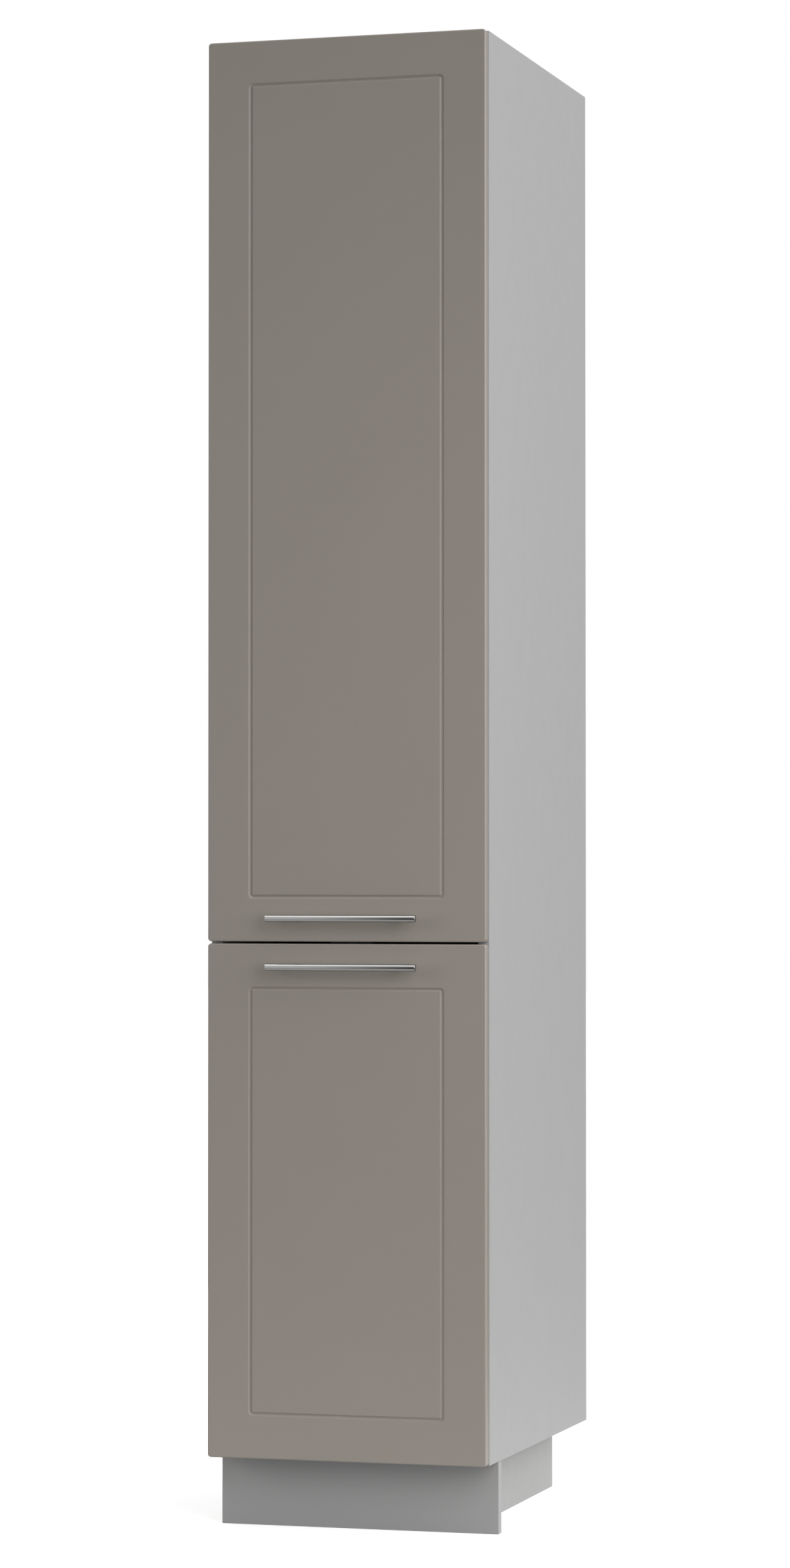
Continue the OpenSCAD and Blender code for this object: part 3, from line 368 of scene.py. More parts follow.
def cage_strip(_colours):
    # Pressed spring strip with a film of grease: darker and softer than the members.
    made = Finish("greased_spring_strip", linear("#85888c"), 0.38, metallic=1.0)
    made.drift(0.08, 7 * MM)
    return made.gloss(made.pattern(CLOUDS, 4 * MM), 0.25, 0.5)


def moulded_plastic(name, base, roughness):
    """Injection-moulded plastic with a spark-eroded grain."""
    made = Finish(name, base, roughness)
    made.drift(0.04, 20 * MM)
    return made.grain(0.9 * MM, 0.012 * MM, Detail=2.0)


def black_plastic(_colours):
    # Glass-filled nylon: near black, matt, with a trace of grey fibre at the skin.
    return moulded_plastic("black_moulded_nylon", linear("#27282a"), 0.5)


def grey_plastic(_colours):
    # Acetal housing: mid grey and a little waxy.
    return moulded_plastic("grey_moulded_acetal", linear("#5b5d60"), 0.38)


def white_plastic(_colours):
    # Polypropylene fitting: milky white-grey and soft in its gloss.
    return moulded_plastic("white_moulded_polypropylene", linear("#d2d2cd"), 0.42)


def roller_nylon(_colours):
    # Turned natural nylon: ivory, a little light goes into it, turning rings round the axis.
    made = Finish("natural_nylon", linear("#e6e2d6"), 0.36, Subsurface_Weight=0.15)
    made.drift(0.02, 6 * MM)
    return made.grain(0.6 * MM, 0.01 * MM, stretch=(0.3, 0.3, 1))


def clear_bumper(_colours):
    # Soft clear polyurethane drop: glassy, with a frosted skin where it has touched.
    made = Finish("clear_polyurethane", linear("#f2f2ee"), 0.18, Transmission_Weight=0.85)
    return made.gloss(made.pattern(CLOUDS, 2 * MM), 0.12, 0.3)


def beech(_colours):
    # Fluted beech dowel: warm, with short dark rays along the grain.
    made = Finish("beech_dowel", linear("#cfa877"), 0.6)
    grain = made.pattern(CLOUDS, 1.4 * MM, stretch=(0.12, 1, 1), Detail=4.0)
    made.tones(grain, linear("#b98c5c"), linear("#d4b083"), linear("#dfc096"))
    return made.relief(grain, 0.05 * MM)


# How bright the near floor is to the unit, what a glossy ray sees on top of that, the distances
# in metres between which it fades, and how bright the floor is further out.
SHEET_BOUNCE = 0.66
SHEET_SHEEN = 0.18
SHEET_EDGE = (0.9, 1.6)
FAR_FLOOR = 0.05


def studio_floor(colours):
    # Matt painted floor, pale and even. The lens sees a pale backdrop, but the light that the unit
    # gets back comes from the near floor only, as if it stood on a pale sheet in a dark room.
    made = Finish("pale_studio_floor", tuple(colours.floor), 0.8, Specular_IOR_Level=0.2,
                  Emission_Color=(1, 1, 1, 1), Emission_Strength=0.6)
    made.drift(0.004, 400 * MM)
    made.grain(6 * MM, 0.02 * MM)
    tree = made.tree
    path = add(tree, "ShaderNodeLightPath")
    near = add(tree, "ShaderNodeMath", {0: path.outputs["Is Glossy Ray"], 1: SHEET_SHEEN, 2: SHEET_BOUNCE},
               operation="MULTIPLY_ADD").outputs[0]
    flat = add(tree, "ShaderNodeVectorMath", {0: made.where, 1: (1, 1, 0)}, operation="MULTIPLY")
    reach = add(tree, "ShaderNodeVectorMath", {0: flat.outputs[0]}, operation="LENGTH").outputs["Value"]
    sheet = add(tree, "ShaderNodeMapRange", {
        "Value": reach, "From Min": SHEET_EDGE[0], "From Max": SHEET_EDGE[1],
        "To Min": near, "To Max": FAR_FLOOR})
    bounce = add(tree, "ShaderNodeBsdfDiffuse", {"Color": sheet.outputs["Result"]})
    both = add(tree, "ShaderNodeMixShader", {
        0: path.outputs["Is Camera Ray"], 1: bounce.outputs[0], 2: made.shader.outputs[0]})
    tree.links.new(both.outputs[0], tree.nodes["Material Output"].inputs["Surface"])
    return made


FINISHES = {
    "front_lacquer": matt_lacquer,
    "carcass_board": carcass_melamine,
    "plinth_board": plinth_melamine,
    "tray_melamine": tray_melamine,
    "raw_chipboard": raw_chipboard,
    "edge_band": banding,
    "back_board": coated_hardboard,
    "raw_hardboard": raw_hardboard,
    "handle_steel": brushed_stainless,
    "zinc_sheet": zinc_sheet,
    "zinc_fitting": zinc_casting,
    "yellow_zinc": yellow_zinc,
    "frame_coating": powder_coat,
    "tray_chrome": chrome_wire,
    "anodised_aluminium": anodised_aluminium,
    "ball_steel": polished_ball,
    "cage_steel": cage_strip,
    "black_plastic": black_plastic,
    "grey_plastic": grey_plastic,
    "white_plastic": white_plastic,
    "nylon": roller_nylon,
    "bumper_plastic": clear_bumper,
    "beech": beech,
    "floor": studio_floor,
}
_made_finishes = {}


def finish(slot):
    """The material of a slot, made once."""
    if slot not in _made_finishes:
        _made_finishes[slot] = FINISHES[slot](bpy.context.scene.larder_colours).material
    return _made_finishes[slot]


# ---- mesh code ----


def new_object(name, mesh):
    made = bpy.data.objects.new(name, mesh)
    bpy.context.scene.collection.objects.link(made)
    return made


def mesh_of(work, name, recalculate=True, sharp=None):
    """Turns mesh code into a smooth mesh with its doubles merged and its faces outwards. Edges
    stay sharp from an angle of sharp degrees."""
    bmesh.ops.remove_doubles(work, verts=work.verts, dist=MERGE)
    if recalculate:
        bmesh.ops.recalc_face_normals(work, faces=work.faces)
    mesh = bpy.data.meshes.new(name)
    work.to_mesh(mesh)
    work.free()
    mesh.shade_smooth()
    if sharp is not None:
        mesh.set_sharp_from_angle(angle=math.radians(sharp))
    return mesh


def place_piece(mesh, name, *nodes, slots=()):
    """Makes the piece that stands for CAD nodes, on their body and with their finish."""
    piece = new_object(name, mesh)
    if not mesh.materials:
        for slot in slots or (SLOT_OF[nodes[0]],):
            mesh.materials.append(finish(slot))
    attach(piece, BODY_OF[nodes[0]])
    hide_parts(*nodes)
    return piece


def round_edges(piece, radius, segments=2, angle=35):
    """Rounds the sharp edges, and keeps the flat faces flat."""
    bevel = piece.modifiers.new("Rounded edges", "BEVEL")
    bevel.width = radius
    bevel.segments = segments
    bevel.limit_method = "ANGLE"
    bevel.angle_limit = math.radians(angle)
    flat = piece.modifiers.new("Flat faces stay flat", "WEIGHTED_NORMAL")
    flat.keep_sharp = True
    return piece


def merged_copy(node):
    """Mesh code of a CAD node with its loose triangles merged into faces."""
    work = bmesh.new()
    work.from_mesh(frame["nodes"][node].data)
    bmesh.ops.remove_doubles(work, verts=work.verts, dist=MERGE)
    bmesh.ops.dissolve_limit(
        work, angle_limit=math.radians(FLAT_ANGLE), verts=work.verts, edges=work.edges)
    return work


def soften(node, radius, raw=(), raw_slot=None, segments=2):
    """A copy of a CAD node with rounded edges. Faces that point along one of the raw directions
    show what the board is made of."""
    work = merged_copy(node)
    for face in work.faces:
        if any(face.normal.dot(Vector(way)) > ALONG for way in raw):
            face.material_index = 1
    mesh = mesh_of(work, node + "_finished", recalculate=False)
    slots = (SLOT_OF[node], raw_slot) if raw else ()
    return round_edges(place_piece(mesh, node + "_finished", node, slots=slots), radius, segments)


def bridge(work, rings, closed=True):
    """Joins rings of as many vertices with faces."""
    for low, high in zip(rings, rings[1:]):
        count = len(low)
        for i in range(count if closed else count - 1):
            j = (i + 1) % count
            corners = [low[i], low[j], high[j], high[i]]
            corners = [c for n, c in enumerate(corners) if c not in corners[:n]]
            if len(corners) > 2:
                work.faces.new(corners)


def lathe(work, profile, place=(0, 0, 0), turn=None, steps=ROUND_STEPS):
    """Turns a profile of (distance along the axis, radius) points round the axis, which is Z
    until it is turned. A radius of 0 closes the end."""
    turn = turn or Matrix.Identity(3)
    rings = []
    for along, radius in profile:
        if radius <= 0:
            pole = work.verts.new(Vector(place) + turn @ Vector((0, 0, along)))
            rings.append([pole] * steps)
            continue
        rings.append([
            work.verts.new(Vector(place) + turn @ Vector((
                radius * math.cos(math.tau * i / steps), radius * math.sin(math.tau * i / steps), along)))
            for i in range(steps)
        ])
    bridge(work, rings)


def rounding(centre_along, centre_radius, r, start, end, steps=5):
    """Profile points on an arc, for lathe: angles in degrees, 0 outwards and 90 along the axis."""
    return [
        (centre_along + r * math.sin(math.radians(start + (end - start) * i / steps)),
         centre_radius + r * math.cos(math.radians(start + (end - start) * i / steps)))
        for i in range(steps + 1)
    ]


BOX_FACES = ((0, 1, 3, 2), (4, 6, 7, 5), (0, 4, 5, 1), (2, 3, 7, 6), (0, 2, 6, 4), (1, 5, 7, 3))


def block(work, corners):
    """A box on eight corners, of which Z changes first and X last."""
    verts = [work.verts.new(corner) for corner in corners]
    for face in BOX_FACES:
        work.faces.new([verts[i] for i in face])


def box(work, low, high):
    """A box between two corners."""
    block(work, itertools.product(*zip(low, high)))


def underside(low, high):
    """The middle of a box's lower face."""
    return Vector(((low.x + high.x) / 2, (low.y + high.y) / 2, low.z))


def rounded_outline(half_w, half_h, r, steps=8):
    """Points round a rectangle with round corners, as many for any radius."""
    points = []
    for i, (sx, sy) in enumerate(((1, 1), (-1, 1), (-1, -1), (1, -1))):
        for k in range(steps + 1):
            angle = math.radians(90 * (i + k / steps))
            points.append((sx * (half_w - r) + r * math.cos(angle), sy * (half_h - r) + r * math.sin(angle)))
    return points


# ---- geometry trees ----


def new_tree(name, inputs):
    """A geometry tree with named inputs. Gives the tree, its input node and the inputs' identifiers."""
    tree = bpy.data.node_groups.new(name, "GeometryNodeTree")
    tree.interface.new_socket(name="Geometry", in_out="INPUT", socket_type="NodeSocketGeometry")
    tree.interface.new_socket(name="Geometry", in_out="OUTPUT", socket_type="NodeSocketGeometry")
    identifiers = {
        label: tree.interface.new_socket(name=label, in_out="INPUT", socket_type=kind).identifier
        for label, kind in inputs.items()
    }
    return tree, add(tree, "NodeGroupInput"), identifiers


def end_tree(tree, geometry, given):
    """Ends a tree in real geometry with its material."""
    real = add(tree, "GeometryNodeRealizeInstances", {"Geometry": geometry})
    dressed = add(tree, "GeometryNodeSetMaterial", {
        "Geometry": real.outputs["Geometry"], "Material": given.outputs["Material"]})
    add(tree, "NodeGroupOutput", {"Geometry": dressed.outputs["Geometry"]})


def wire_tree():
    """Bends the edges of a mesh into round wires."""
    tree, given, identifiers = new_tree("Bent wire", {
        "Radius": "NodeSocketFloat", "Bend": "NodeSocketFloat", "Bend steps": "NodeSocketInt",
        "Sides": "NodeSocketInt", "Material": "NodeSocketMaterial"})
    line = add(tree, "GeometryNodeMeshToCurve", {"Mesh": given.outputs["Geometry"]})
    bent = add(tree, "GeometryNodeFilletCurve", {
        "Curve": line.outputs["Curve"], "Radius": given.outputs["Bend"],
        "Count": given.outputs["Bend steps"]}, mode="POLY")
    section = add(tree, "GeometryNodeCurvePrimitiveCircle", {
        "Radius": given.outputs["Radius"], "Resolution": given.outputs["Sides"]})
    tube = add(tree, "GeometryNodeCurveToMesh", {
        "Curve": bent.outputs["Curve"], "Profile Curve": section.outputs["Curve"], "Fill Caps": True})
    end_tree(tree, tube.outputs["Mesh"], given)
    return tree, identifiers


def copies_tree():
    """Sets a copy of a pattern piece at every point, turned by the point's own turn."""
    tree, given, identifiers = new_tree("Copies at points", {
        "Pattern": "NodeSocketObject", "Material": "NodeSocketMaterial"})
    pattern = add(tree, "GeometryNodeObjectInfo", {"Object": given.outputs["Pattern"]})
    turn = add(tree, "GeometryNodeInputNamedAttribute", {"Name": "turn"}, data_type="FLOAT_VECTOR")
    copies = add(tree, "GeometryNodeInstanceOnPoints", {
        "Points": given.outputs["Geometry"], "Instance": pattern.outputs["Geometry"],
        "Rotation": turn.outputs["Attribute"]})
    end_tree(tree, copies.outputs["Instances"], given)
    return tree, identifiers


def run_tree(made, base, values):
    """Runs a tree on a mesh, and gives the plain mesh that it makes."""
    tree, identifiers = made
    carrier = new_object("carrier", base)
    modifier = carrier.modifiers.new(tree.name, "NODES")
    modifier.node_group = tree
    for label, value in values.items():
        modifier[identifiers[label]] = value
    evaluated = carrier.evaluated_get(bpy.context.evaluated_depsgraph_get())
    mesh = bpy.data.meshes.new_from_object(evaluated)
    carrier.modifiers.remove(modifier)
    bpy.data.objects.remove(carrier)
    return mesh


def copies(pattern_mesh, places, slot):
    """One mesh with a copy of the pattern at each (point, direction of its +Z)."""
    points = bpy.data.meshes.new("points")
    points.from_pydata([place for place, _ in places], [], [])
    turns = points.attributes.new("turn", "FLOAT_VECTOR", "POINT")
    for i, (_, way) in enumerate(places):
        turns.data[i].vector = Vector(way).to_track_quat("Z", "Y").to_euler()
    pattern = new_object("pattern", pattern_mesh)
    mesh = run_tree(copies_tree(), points, {"Pattern": pattern, "Material": finish(slot)})
    bpy.data.objects.remove(pattern)
    mesh.shade_smooth()
    return mesh


def wires(paths, radius, bend, slot, closed=False):
    """One mesh of round wires along lists of points."""
    line = bpy.data.meshes.new("lines")
    points, edges = [], []
    for path in paths:
        first = len(points)
        points += path
        edges += [(first + i, first + i + 1) for i in range(len(path) - 1)]
        if closed:
            edges.append((len(points) - 1, first))
    line.from_pydata(points, edges, [])
    return run_tree(wire_tree(), line, {
        "Radius": radius, "Bend": bend, "Bend steps": 6, "Sides": 14, "Material": finish(slot)})


def joined(meshes, name, sharp=None):
    """Several meshes as one."""
    work = bmesh.new()
    for mesh in meshes:
        work.from_mesh(mesh)
    made = mesh_of(work, name, sharp=sharp)
    for material in meshes[0].materials:
        made.materials.append(material)
    return made


# ---- what the CAD solids say of their fasteners ----


def solids_of(node):
    """The points of each separate solid of a CAD node, in the order of its vertices."""
    work = merged_copy(node)
    seen, found = set(), []
    for start in work.verts:
        if start in seen:
            continue
        seen.add(start)
        group, todo = [], [start]
        while todo:
            vertex = todo.pop()
            group.append(vertex.co.copy())
            for near in [edge.other_vert(vertex) for edge in vertex.link_edges]:
                if near not in seen:
                    seen.add(near)
                    todo.append(near)
        found.append(group)
    work.free()
    return found


def extent(points):
    low = Vector([min(p[i] for p in points) for i in range(3)])
    high = Vector([max(p[i] for p in points) for i in range(3)])
    return low, high


# How near a point is to a fastener's end to count as on it, and from which share of the head's
# radius it counts as on the head's rim.
END_PLAY = 0.05 * MM
RIM = 0.97


def read_fastener(points):
    """Where a headed fastener is and how big: the point under its head, the way that its head
    faces, and its head's and shank's radius and length."""
    low, high = extent(points)
    axis = max(range(3), key=lambda i: high[i] - low[i])
    middle = (low + high) / 2
    reach = [(p[axis], math.hypot(*[(p - middle)[j] for j in range(3) if j != axis])) for p in points]
    head_r = max(r for _, r in reach)
    ends = (low[axis], high[axis])
    radius_at = [max(r for a, r in reach if abs(a - end) < END_PLAY) for end in ends]
    head_end = 0 if radius_at[0] > radius_at[1] else 1
    under = [a for a, r in reach if r > head_r * RIM]
    seat = max(under) if head_end == 0 else min(under)
    way = Vector((0, 0, 0))
    way[axis] = -1 if head_end == 0 else 1
    place = middle.copy()
    place[axis] = seat
    return {
        "place": place, "way": way, "head_r": head_r, "head_h": abs(ends[head_end] - seat),
        "shank_r": radius_at[1 - head_end], "shank_l": abs(ends[1 - head_end] - seat),
    }


# Vertices round a fastener, and half the width of a cross recess's arms as a share of their reach.
HEAD_STEPS = 24
CROSS_ARM = 0.3


def from_middle(i, part):
    """The i-th step's angle from the middle of the part of a turn that it lies in."""
    return (math.tau * i / HEAD_STEPS + part / 2) % part - part / 2


def circle(_i):
    """How far out a round outline is at the i-th step, as a share of its radius."""
    return 1.0


def hexagon(i):
    return 1 / math.cos(from_middle(i, math.pi / 3))


def soft_hexagon(i):
    return hexagon(i) ** 0.5


def cross(i):
    angle = from_middle(i, math.pi / 2)
    if abs(math.tan(angle)) <= CROSS_ARM:
        return 1 / math.cos(angle)
    return CROSS_ARM / math.sin(abs(angle))


def ring_at(work, z, radius, outline=circle):
    """Vertices round the Z axis, or one vertex for them all where there is no radius."""
    if radius == 0:
        return [work.verts.new((0, 0, z))] * HEAD_STEPS
    return [
        work.verts.new((radius * outline(i) * math.cos(math.tau * i / HEAD_STEPS),
                        radius * outline(i) * math.sin(math.tau * i / HEAD_STEPS), z))
        for i in range(HEAD_STEPS)
    ]


# Radius of a fastener's tip as a share of its shank's: a screw's point, and a bolt's chamfered end.
POINTED, CHAMFERED = 0.35, 0.8
# A head rounds over this share of its height. Its shoulder's place in that stretch, from the top,
# and the radius of the shoulder and of the face are shares too.
HEAD_SOFT, SHOULDER, SHOULDER_R, FACE_R = 0.45, 0.3, 0.93, 0.74
# The rings inside each drive's face: shares of the head's height and radius, and the outline.
RECESSES = {
    "cross": ((1.0, 0.5, cross), (0.35, 0.34, cross), (0.1, 0, circle)),
    "socket": ((1.0, 0.42, hexagon), (0.3, 0.42, hexagon), (0.3, 0, circle)),
    "hex": ((1.0, 0, circle),),
    "dome": ((1.0, 0, circle),),
}
# Shanks with a larger radius than this, in millimetres, belong to bolts.
THICK_SHANK_MM = 2.5


def fastener_mesh(head_r, head_h, shank_r, shank_l, drive):
    """A fastener under whose head Z is 0. drive is one of the recesses' names."""
    tip_l = min(shank_r, shank_l / 3)
    tip_r = shank_r * (POINTED if drive == "cross" else CHAMFERED)
    full, outline, softer = head_r, circle, circle
    if drive == "hex":
        full, outline, softer = head_r * math.cos(math.pi / 6), hexagon, soft_hexagon
    soft = head_h * HEAD_SOFT
    rings = [
        (-shank_l, 0), (-shank_l, tip_r), (tip_l - shank_l, shank_r), (0, shank_r),
        (0, full, outline), (head_h - soft, full, outline),
        (head_h - soft * SHOULDER, full * SHOULDER_R, softer), (head_h, full * FACE_R),
        *((head_h * z, head_r * r, shape) for z, r, shape in RECESSES[drive]),
    ]
    work = bmesh.new()
    bridge(work, [ring_at(work, *ring) for ring in rings])
    return mesh_of(work, "fastener", sharp=40)


def dress_fasteners(node, screw_drive, bolt_drive):
    """Replaces a node of fasteners by finer ones at the same places."""
    groups = {}
    for points in solids_of(node):
        found = read_fastener(points)
        key = tuple(round(found[k] / MM, 1) for k in ("head_r", "head_h", "shank_r", "shank_l"))
        groups.setdefault(key, []).append(found)
    meshes = []
    for key, group in sorted(groups.items()):
        drive = bolt_drive if key[2] > THICK_SHANK_MM else screw_drive
        pattern = fastener_mesh(*(value * MM for value in key), drive)
        meshes.append(copies(pattern, [(f["place"], f["way"]) for f in group], SLOT_OF[node]))
    name = node + "_plated"
    place_piece(joined(meshes, name, sharp=40), name, node)


# ---- operators ----


def sizes():
    return bpy.context.scene.larder_sizes


class LARDER_OT_fronts(bpy.types.Operator):
    """Make both fronts, with their rounded edges and the groove that runs round them"""
    bl_idname = "larder.fronts"
    bl_label = "Fronts"

    def execute(self, context):
        for node in ("upper_front", "lower_front"):
            place_piece(self.front_mesh(node), node + "_lacquered", node)
        return {"FINISHED"}

    def front_mesh(self, node):
        size = sizes()
        low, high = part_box(node)
        middle, half = (low + high) / 2, (high - low) / 2
        work = bmesh.new()
        rings = []
        for inset, depth, r in self.section(size, high.y - low.y):
            outline = rounded_outline(half.x - inset, half.z - inset, r)
            rings.append([work.verts.new((middle.x + x, low.y + depth, middle.z + z)) for x, z in outline])
        bridge(work, rings)
        work.faces.new(rings[0])
        work.faces.new(rings[-1])
        return mesh_of(work, node + "_lacquered")

    def section(self, size, thick):
        """Points from the back edge over the face to the groove's inside: how far in from the
        outline, how deep under the face, and the corner radius there."""
        back, guard, arc_steps, groove_steps = 0.5 * MM, 0.4 * MM, 8, 14
        edge, corner = size.front_edge, size.front_corner
        points = [(guard * 2, thick), (back, thick), (0, thick - back), (0, edge + guard)]
        for i in range(arc_steps + 1):
            angle = math.pi / 2 * i / arc_steps
            points.append((edge * (1 - math.cos(angle)), edge * (1 - math.sin(angle))))
        points.append((edge + guard, 0.0))
        half = size.groove_width / 2
        points.append((size.groove_inset - half - guard, 0.0))
        for i in range(groove_steps + 1):
            across = -half + 2 * half * i / groove_steps
            depth = size.groove_depth * (1 + math.cos(math.pi * across / half)) / 2
            points.append((size.groove_inset + across, depth))
        points.append((size.groove_inset + half + guard, 0.0))
        small = 0.4 * MM
        with_radius = []
        for inset, depth in points:
            outer = max(corner - inset, small)
            inner = max(size.groove_corner + size.groove_inset - inset, small)
            with_radius.append((inset, depth, outer if inset < size.groove_inset / 2 else inner))
        return with_radius


class LARDER_OT_handles(bpy.types.Operator):
    """Make the round bar handles on their posts"""
    bl_idname = "larder.handles"
    bl_label = "Handles"

    POST_R = 3 * MM
    POST_PITCH = 160 * MM
    POST_CHAMFER = 0.4 * MM
    BAR_STEPS = 48

    def execute(self, context):
        for node in ("upper_handle", "lower_handle"):
            place_piece(self.handle_mesh(node), node + "_polished", node)
        return {"FINISHED"}

    def handle_mesh(self, node):
        low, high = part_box(node)
        radius, long = (high.z - low.z) / 2, high.x - low.x
        end = sizes().handle_edge
        bar = Vector((low.x, low.y + radius, (low.z + high.z) / 2))
        along_x = Matrix.Rotation(math.pi / 2, 3, "Y")
        towards_front = Matrix.Rotation(math.pi / 2, 3, "X")
        work = bmesh.new()
        lathe(work, [(0, 0), (0, radius - end), (end, radius), (long - end, radius),
                     (long, radius - end), (long, 0)], bar, along_x, self.BAR_STEPS)
        reach, post_r, chamfer = high.y - bar.y, self.POST_R, self.POST_CHAMFER
        for side in (-1, 1):
            seat = Vector((side * self.POST_PITCH / 2, high.y, bar.z))
            lathe(work, [(0, 0), (0, post_r - chamfer), (chamfer, post_r), (reach, post_r), (reach, 0)],
                  seat, towards_front)
        return mesh_of(work, node + "_polished", sharp=30)


class LARDER_OT_carcass(bpy.types.Operator):
    """Finish the carcass boards: melamine faces, banded fronts and sawn edges behind"""
    bl_idname = "larder.carcass"
    bl_label = "Carcass"

    def execute(self, context):
        edge = sizes().board_edge
        sawn = {
            "side_left": BACKWARDS + UP_DOWN,
            "side_right": BACKWARDS + UP_DOWN,
            "top_panel": BACKWARDS + SIDEWAYS,
            "bottom_panel": BACKWARDS + SIDEWAYS,
            "rear_rails": UP_DOWN + SIDEWAYS,
        }
        for node, ways in sawn.items():
            soften(node, edge, ways, "raw_chipboard")
        soften("edge_bands", edge)
        soften("back_panel", edge / 2, BACKWARDS + SIDEWAYS + UP_DOWN, "raw_hardboard")
        return {"FINISHED"}


class LARDER_OT_plinth(bpy.types.Operator):
    """Finish the plinth boards and make their fittings"""
    bl_idname = "larder.plinth"
    bl_label = "Plinth"

    def execute(self, context):
        size = sizes()
        soften("plinth_front", size.board_edge, UP_DOWN, "raw_chipboard")
        for node in ("plinth_side_left", "plinth_side_right"):
            soften(node, size.board_edge, UP_DOWN + BACKWARDS, "raw_chipboard")
        for node in ("plinth_brackets", "plinth_clips", "foot_sockets"):
            soften(node, size.moulding_edge)
        return {"FINISHED"}


class LARDER_OT_feet(bpy.types.Operator):
    """Make the levelling feet: ribbed pad, hexagonal collar and threaded stem"""
    bl_idname = "larder.feet"
    bl_label = "Levelling feet"

    STEM_R = 5 * MM
    PAD_THICK = 8 * MM
    SOFT = 0.8 * MM
    COLLAR_R = 11 * MM
    RIBS = 12
    RIB_THICK = 1.2 * MM
    RIB_SETBACK = 2 * MM
    # Heights on the pad, as shares of it: a rib's underside, and its top at its inner and outer end.
    RIB_SHARES = (0.3, 0.97, 0.62)
    # How far in the thread is along one turn, as shares of its depth.
    THREAD_SHARES = (0, 0.85, 1, 0.15)

    def execute(self, context):
        for node in FEET:
            place_piece(self.foot_mesh(node), node + "_moulded", node)
        return {"FINISHED"}

    def foot_mesh(self, node):
        low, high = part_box(node)
        axis = underside(low, high)
        pad_r, pad_t, soft, collar_r = (high.x - low.x) / 2, self.PAD_THICK, self.SOFT, self.COLLAR_R
        work = bmesh.new()
        lathe(work, [(0, 0), (0, pad_r - 2 * soft), *rounding(soft, pad_r - soft, soft, -90, 0, 4),
                     (pad_t / 2 - soft, pad_r), *rounding(pad_t / 2 - soft, pad_r - soft, soft, 0, 60, 4),
                     (pad_t, 2 * self.STEM_R), (pad_t, 0)], axis, steps=48)
        self.ribs(work, axis, pad_r)
        lathe(work, [(pad_t, 0), (pad_t, collar_r), (2 * pad_t - soft, collar_r),
                     (2 * pad_t, collar_r - soft), (2 * pad_t, 0)], axis, steps=6)
        self.thread(work, axis, 2 * pad_t, high.z - low.z)
        return mesh_of(work, node + "_moulded", sharp=35)

    def ribs(self, work, axis, pad_r):
        """Low radial ribs on the pad's upper side."""
        bottom, inner_top, outer_top = (self.PAD_THICK * share for share in self.RIB_SHARES)
        ends = ((2 * self.STEM_R, inner_top), (pad_r - self.RIB_SETBACK, outer_top))
        corners = [(r, side * self.RIB_THICK / 2, z)
                   for r, top in ends for side in (-1, 1) for z in (bottom, top)]
        for i in range(self.RIBS):
            turn = Matrix.Rotation(math.tau * i / self.RIBS, 3, "Z")
            block(work, [axis + turn @ Vector(corner) for corner in corners])

    def thread(self, work, axis, start, end, steps=20):
        """A single thread: the rows of its vertices follow the helix, so that crests stay sharp."""
        pitch, depth = sizes().thread_pitch, sizes().thread_depth
        levels = [depth * share for share in self.THREAD_SHARES]
        rows = int((end - start) / pitch * len(levels))
        grid = []
        for row in range(-len(levels), rows + 1):
            ring = []
            for j in range(steps):
                z = start + pitch * (row / len(levels) + j / steps)
                r = self.STEM_R - levels[row % len(levels)]
                angle = math.tau * j / steps
                ring.append(work.verts.new(axis + Vector((
                    r * math.cos(angle), r * math.sin(angle), min(max(z, start), end)))))
            grid.append(ring)
        for k in range(len(grid) - 1):
            for j in range(steps):
                other, up = (0, k + len(levels)) if j == steps - 1 else (j + 1, k)
                if up + 1 < len(grid):
                    work.faces.new([grid[k][j], grid[up][other], grid[up + 1][other], grid[k + 1][j]])
        core = self.STEM_R - depth
        lathe(work, [(end - pitch, 0), (end - pitch, core), (end, core), (end, 0)], axis, steps=steps)


class LARDER_OT_runners(bpy.types.Operator):
    """Finish the bottom runner: base, members, ball cages, balls and the soft-close unit"""
    bl_idname = "larder.runners"
    bl_label = "Runners"

    def execute(self, context):
        size = sizes()
        members = [f"runner_{part}_{side}"
                   for part in ("outer", "middle", "inner") for side in ("left", "right")]
        for node in ("runner_base", *members, "carriage"):
            soften(node, size.sheet_edge)
        for node in ("outer_ball_cages", "inner_ball_cages"):
            soften(node, size.sheet_edge / 4)
        soften("soft_close_unit", size.moulding_edge)
        for node in ("outer_balls", "inner_balls"):
            self.balls(node)
        return {"FINISHED"}

    def balls(self, node):
        centres, radius = [], 0.0
        for points in solids_of(node):
            low, high = extent(points)
            centres.append(((low + high) / 2, (0, 0, 1)))
            radius = (high.z - low.z) / 2
        work = bmesh.new()
        bmesh.ops.create_icosphere(work, subdivisions=2, radius=radius)
        mesh = copies(mesh_of(work, "ball"), centres, SLOT_OF[node])
        place_piece(mesh, node + "_polished", node)


class LARDER_OT_pull_out(bpy.types.Operator):
    """Finish the pull-out's frame: tubes, uprights, plugs and the fronts' brackets"""
    bl_idname = "larder.pull_out"
    bl_label = "Pull-out frame"

    def execute(self, context):
        size = sizes()
        tube_edge = 2.4 * size.sheet_edge
        for node in ("frame_bottom_tube", "frame_top_tube", "front_upright", "rear_upright"):
            soften(node, tube_edge, segments=3)
        soften("front_brackets", size.sheet_edge)
        soften("tube_plugs", size.moulding_edge)
        return {"FINISHED"}


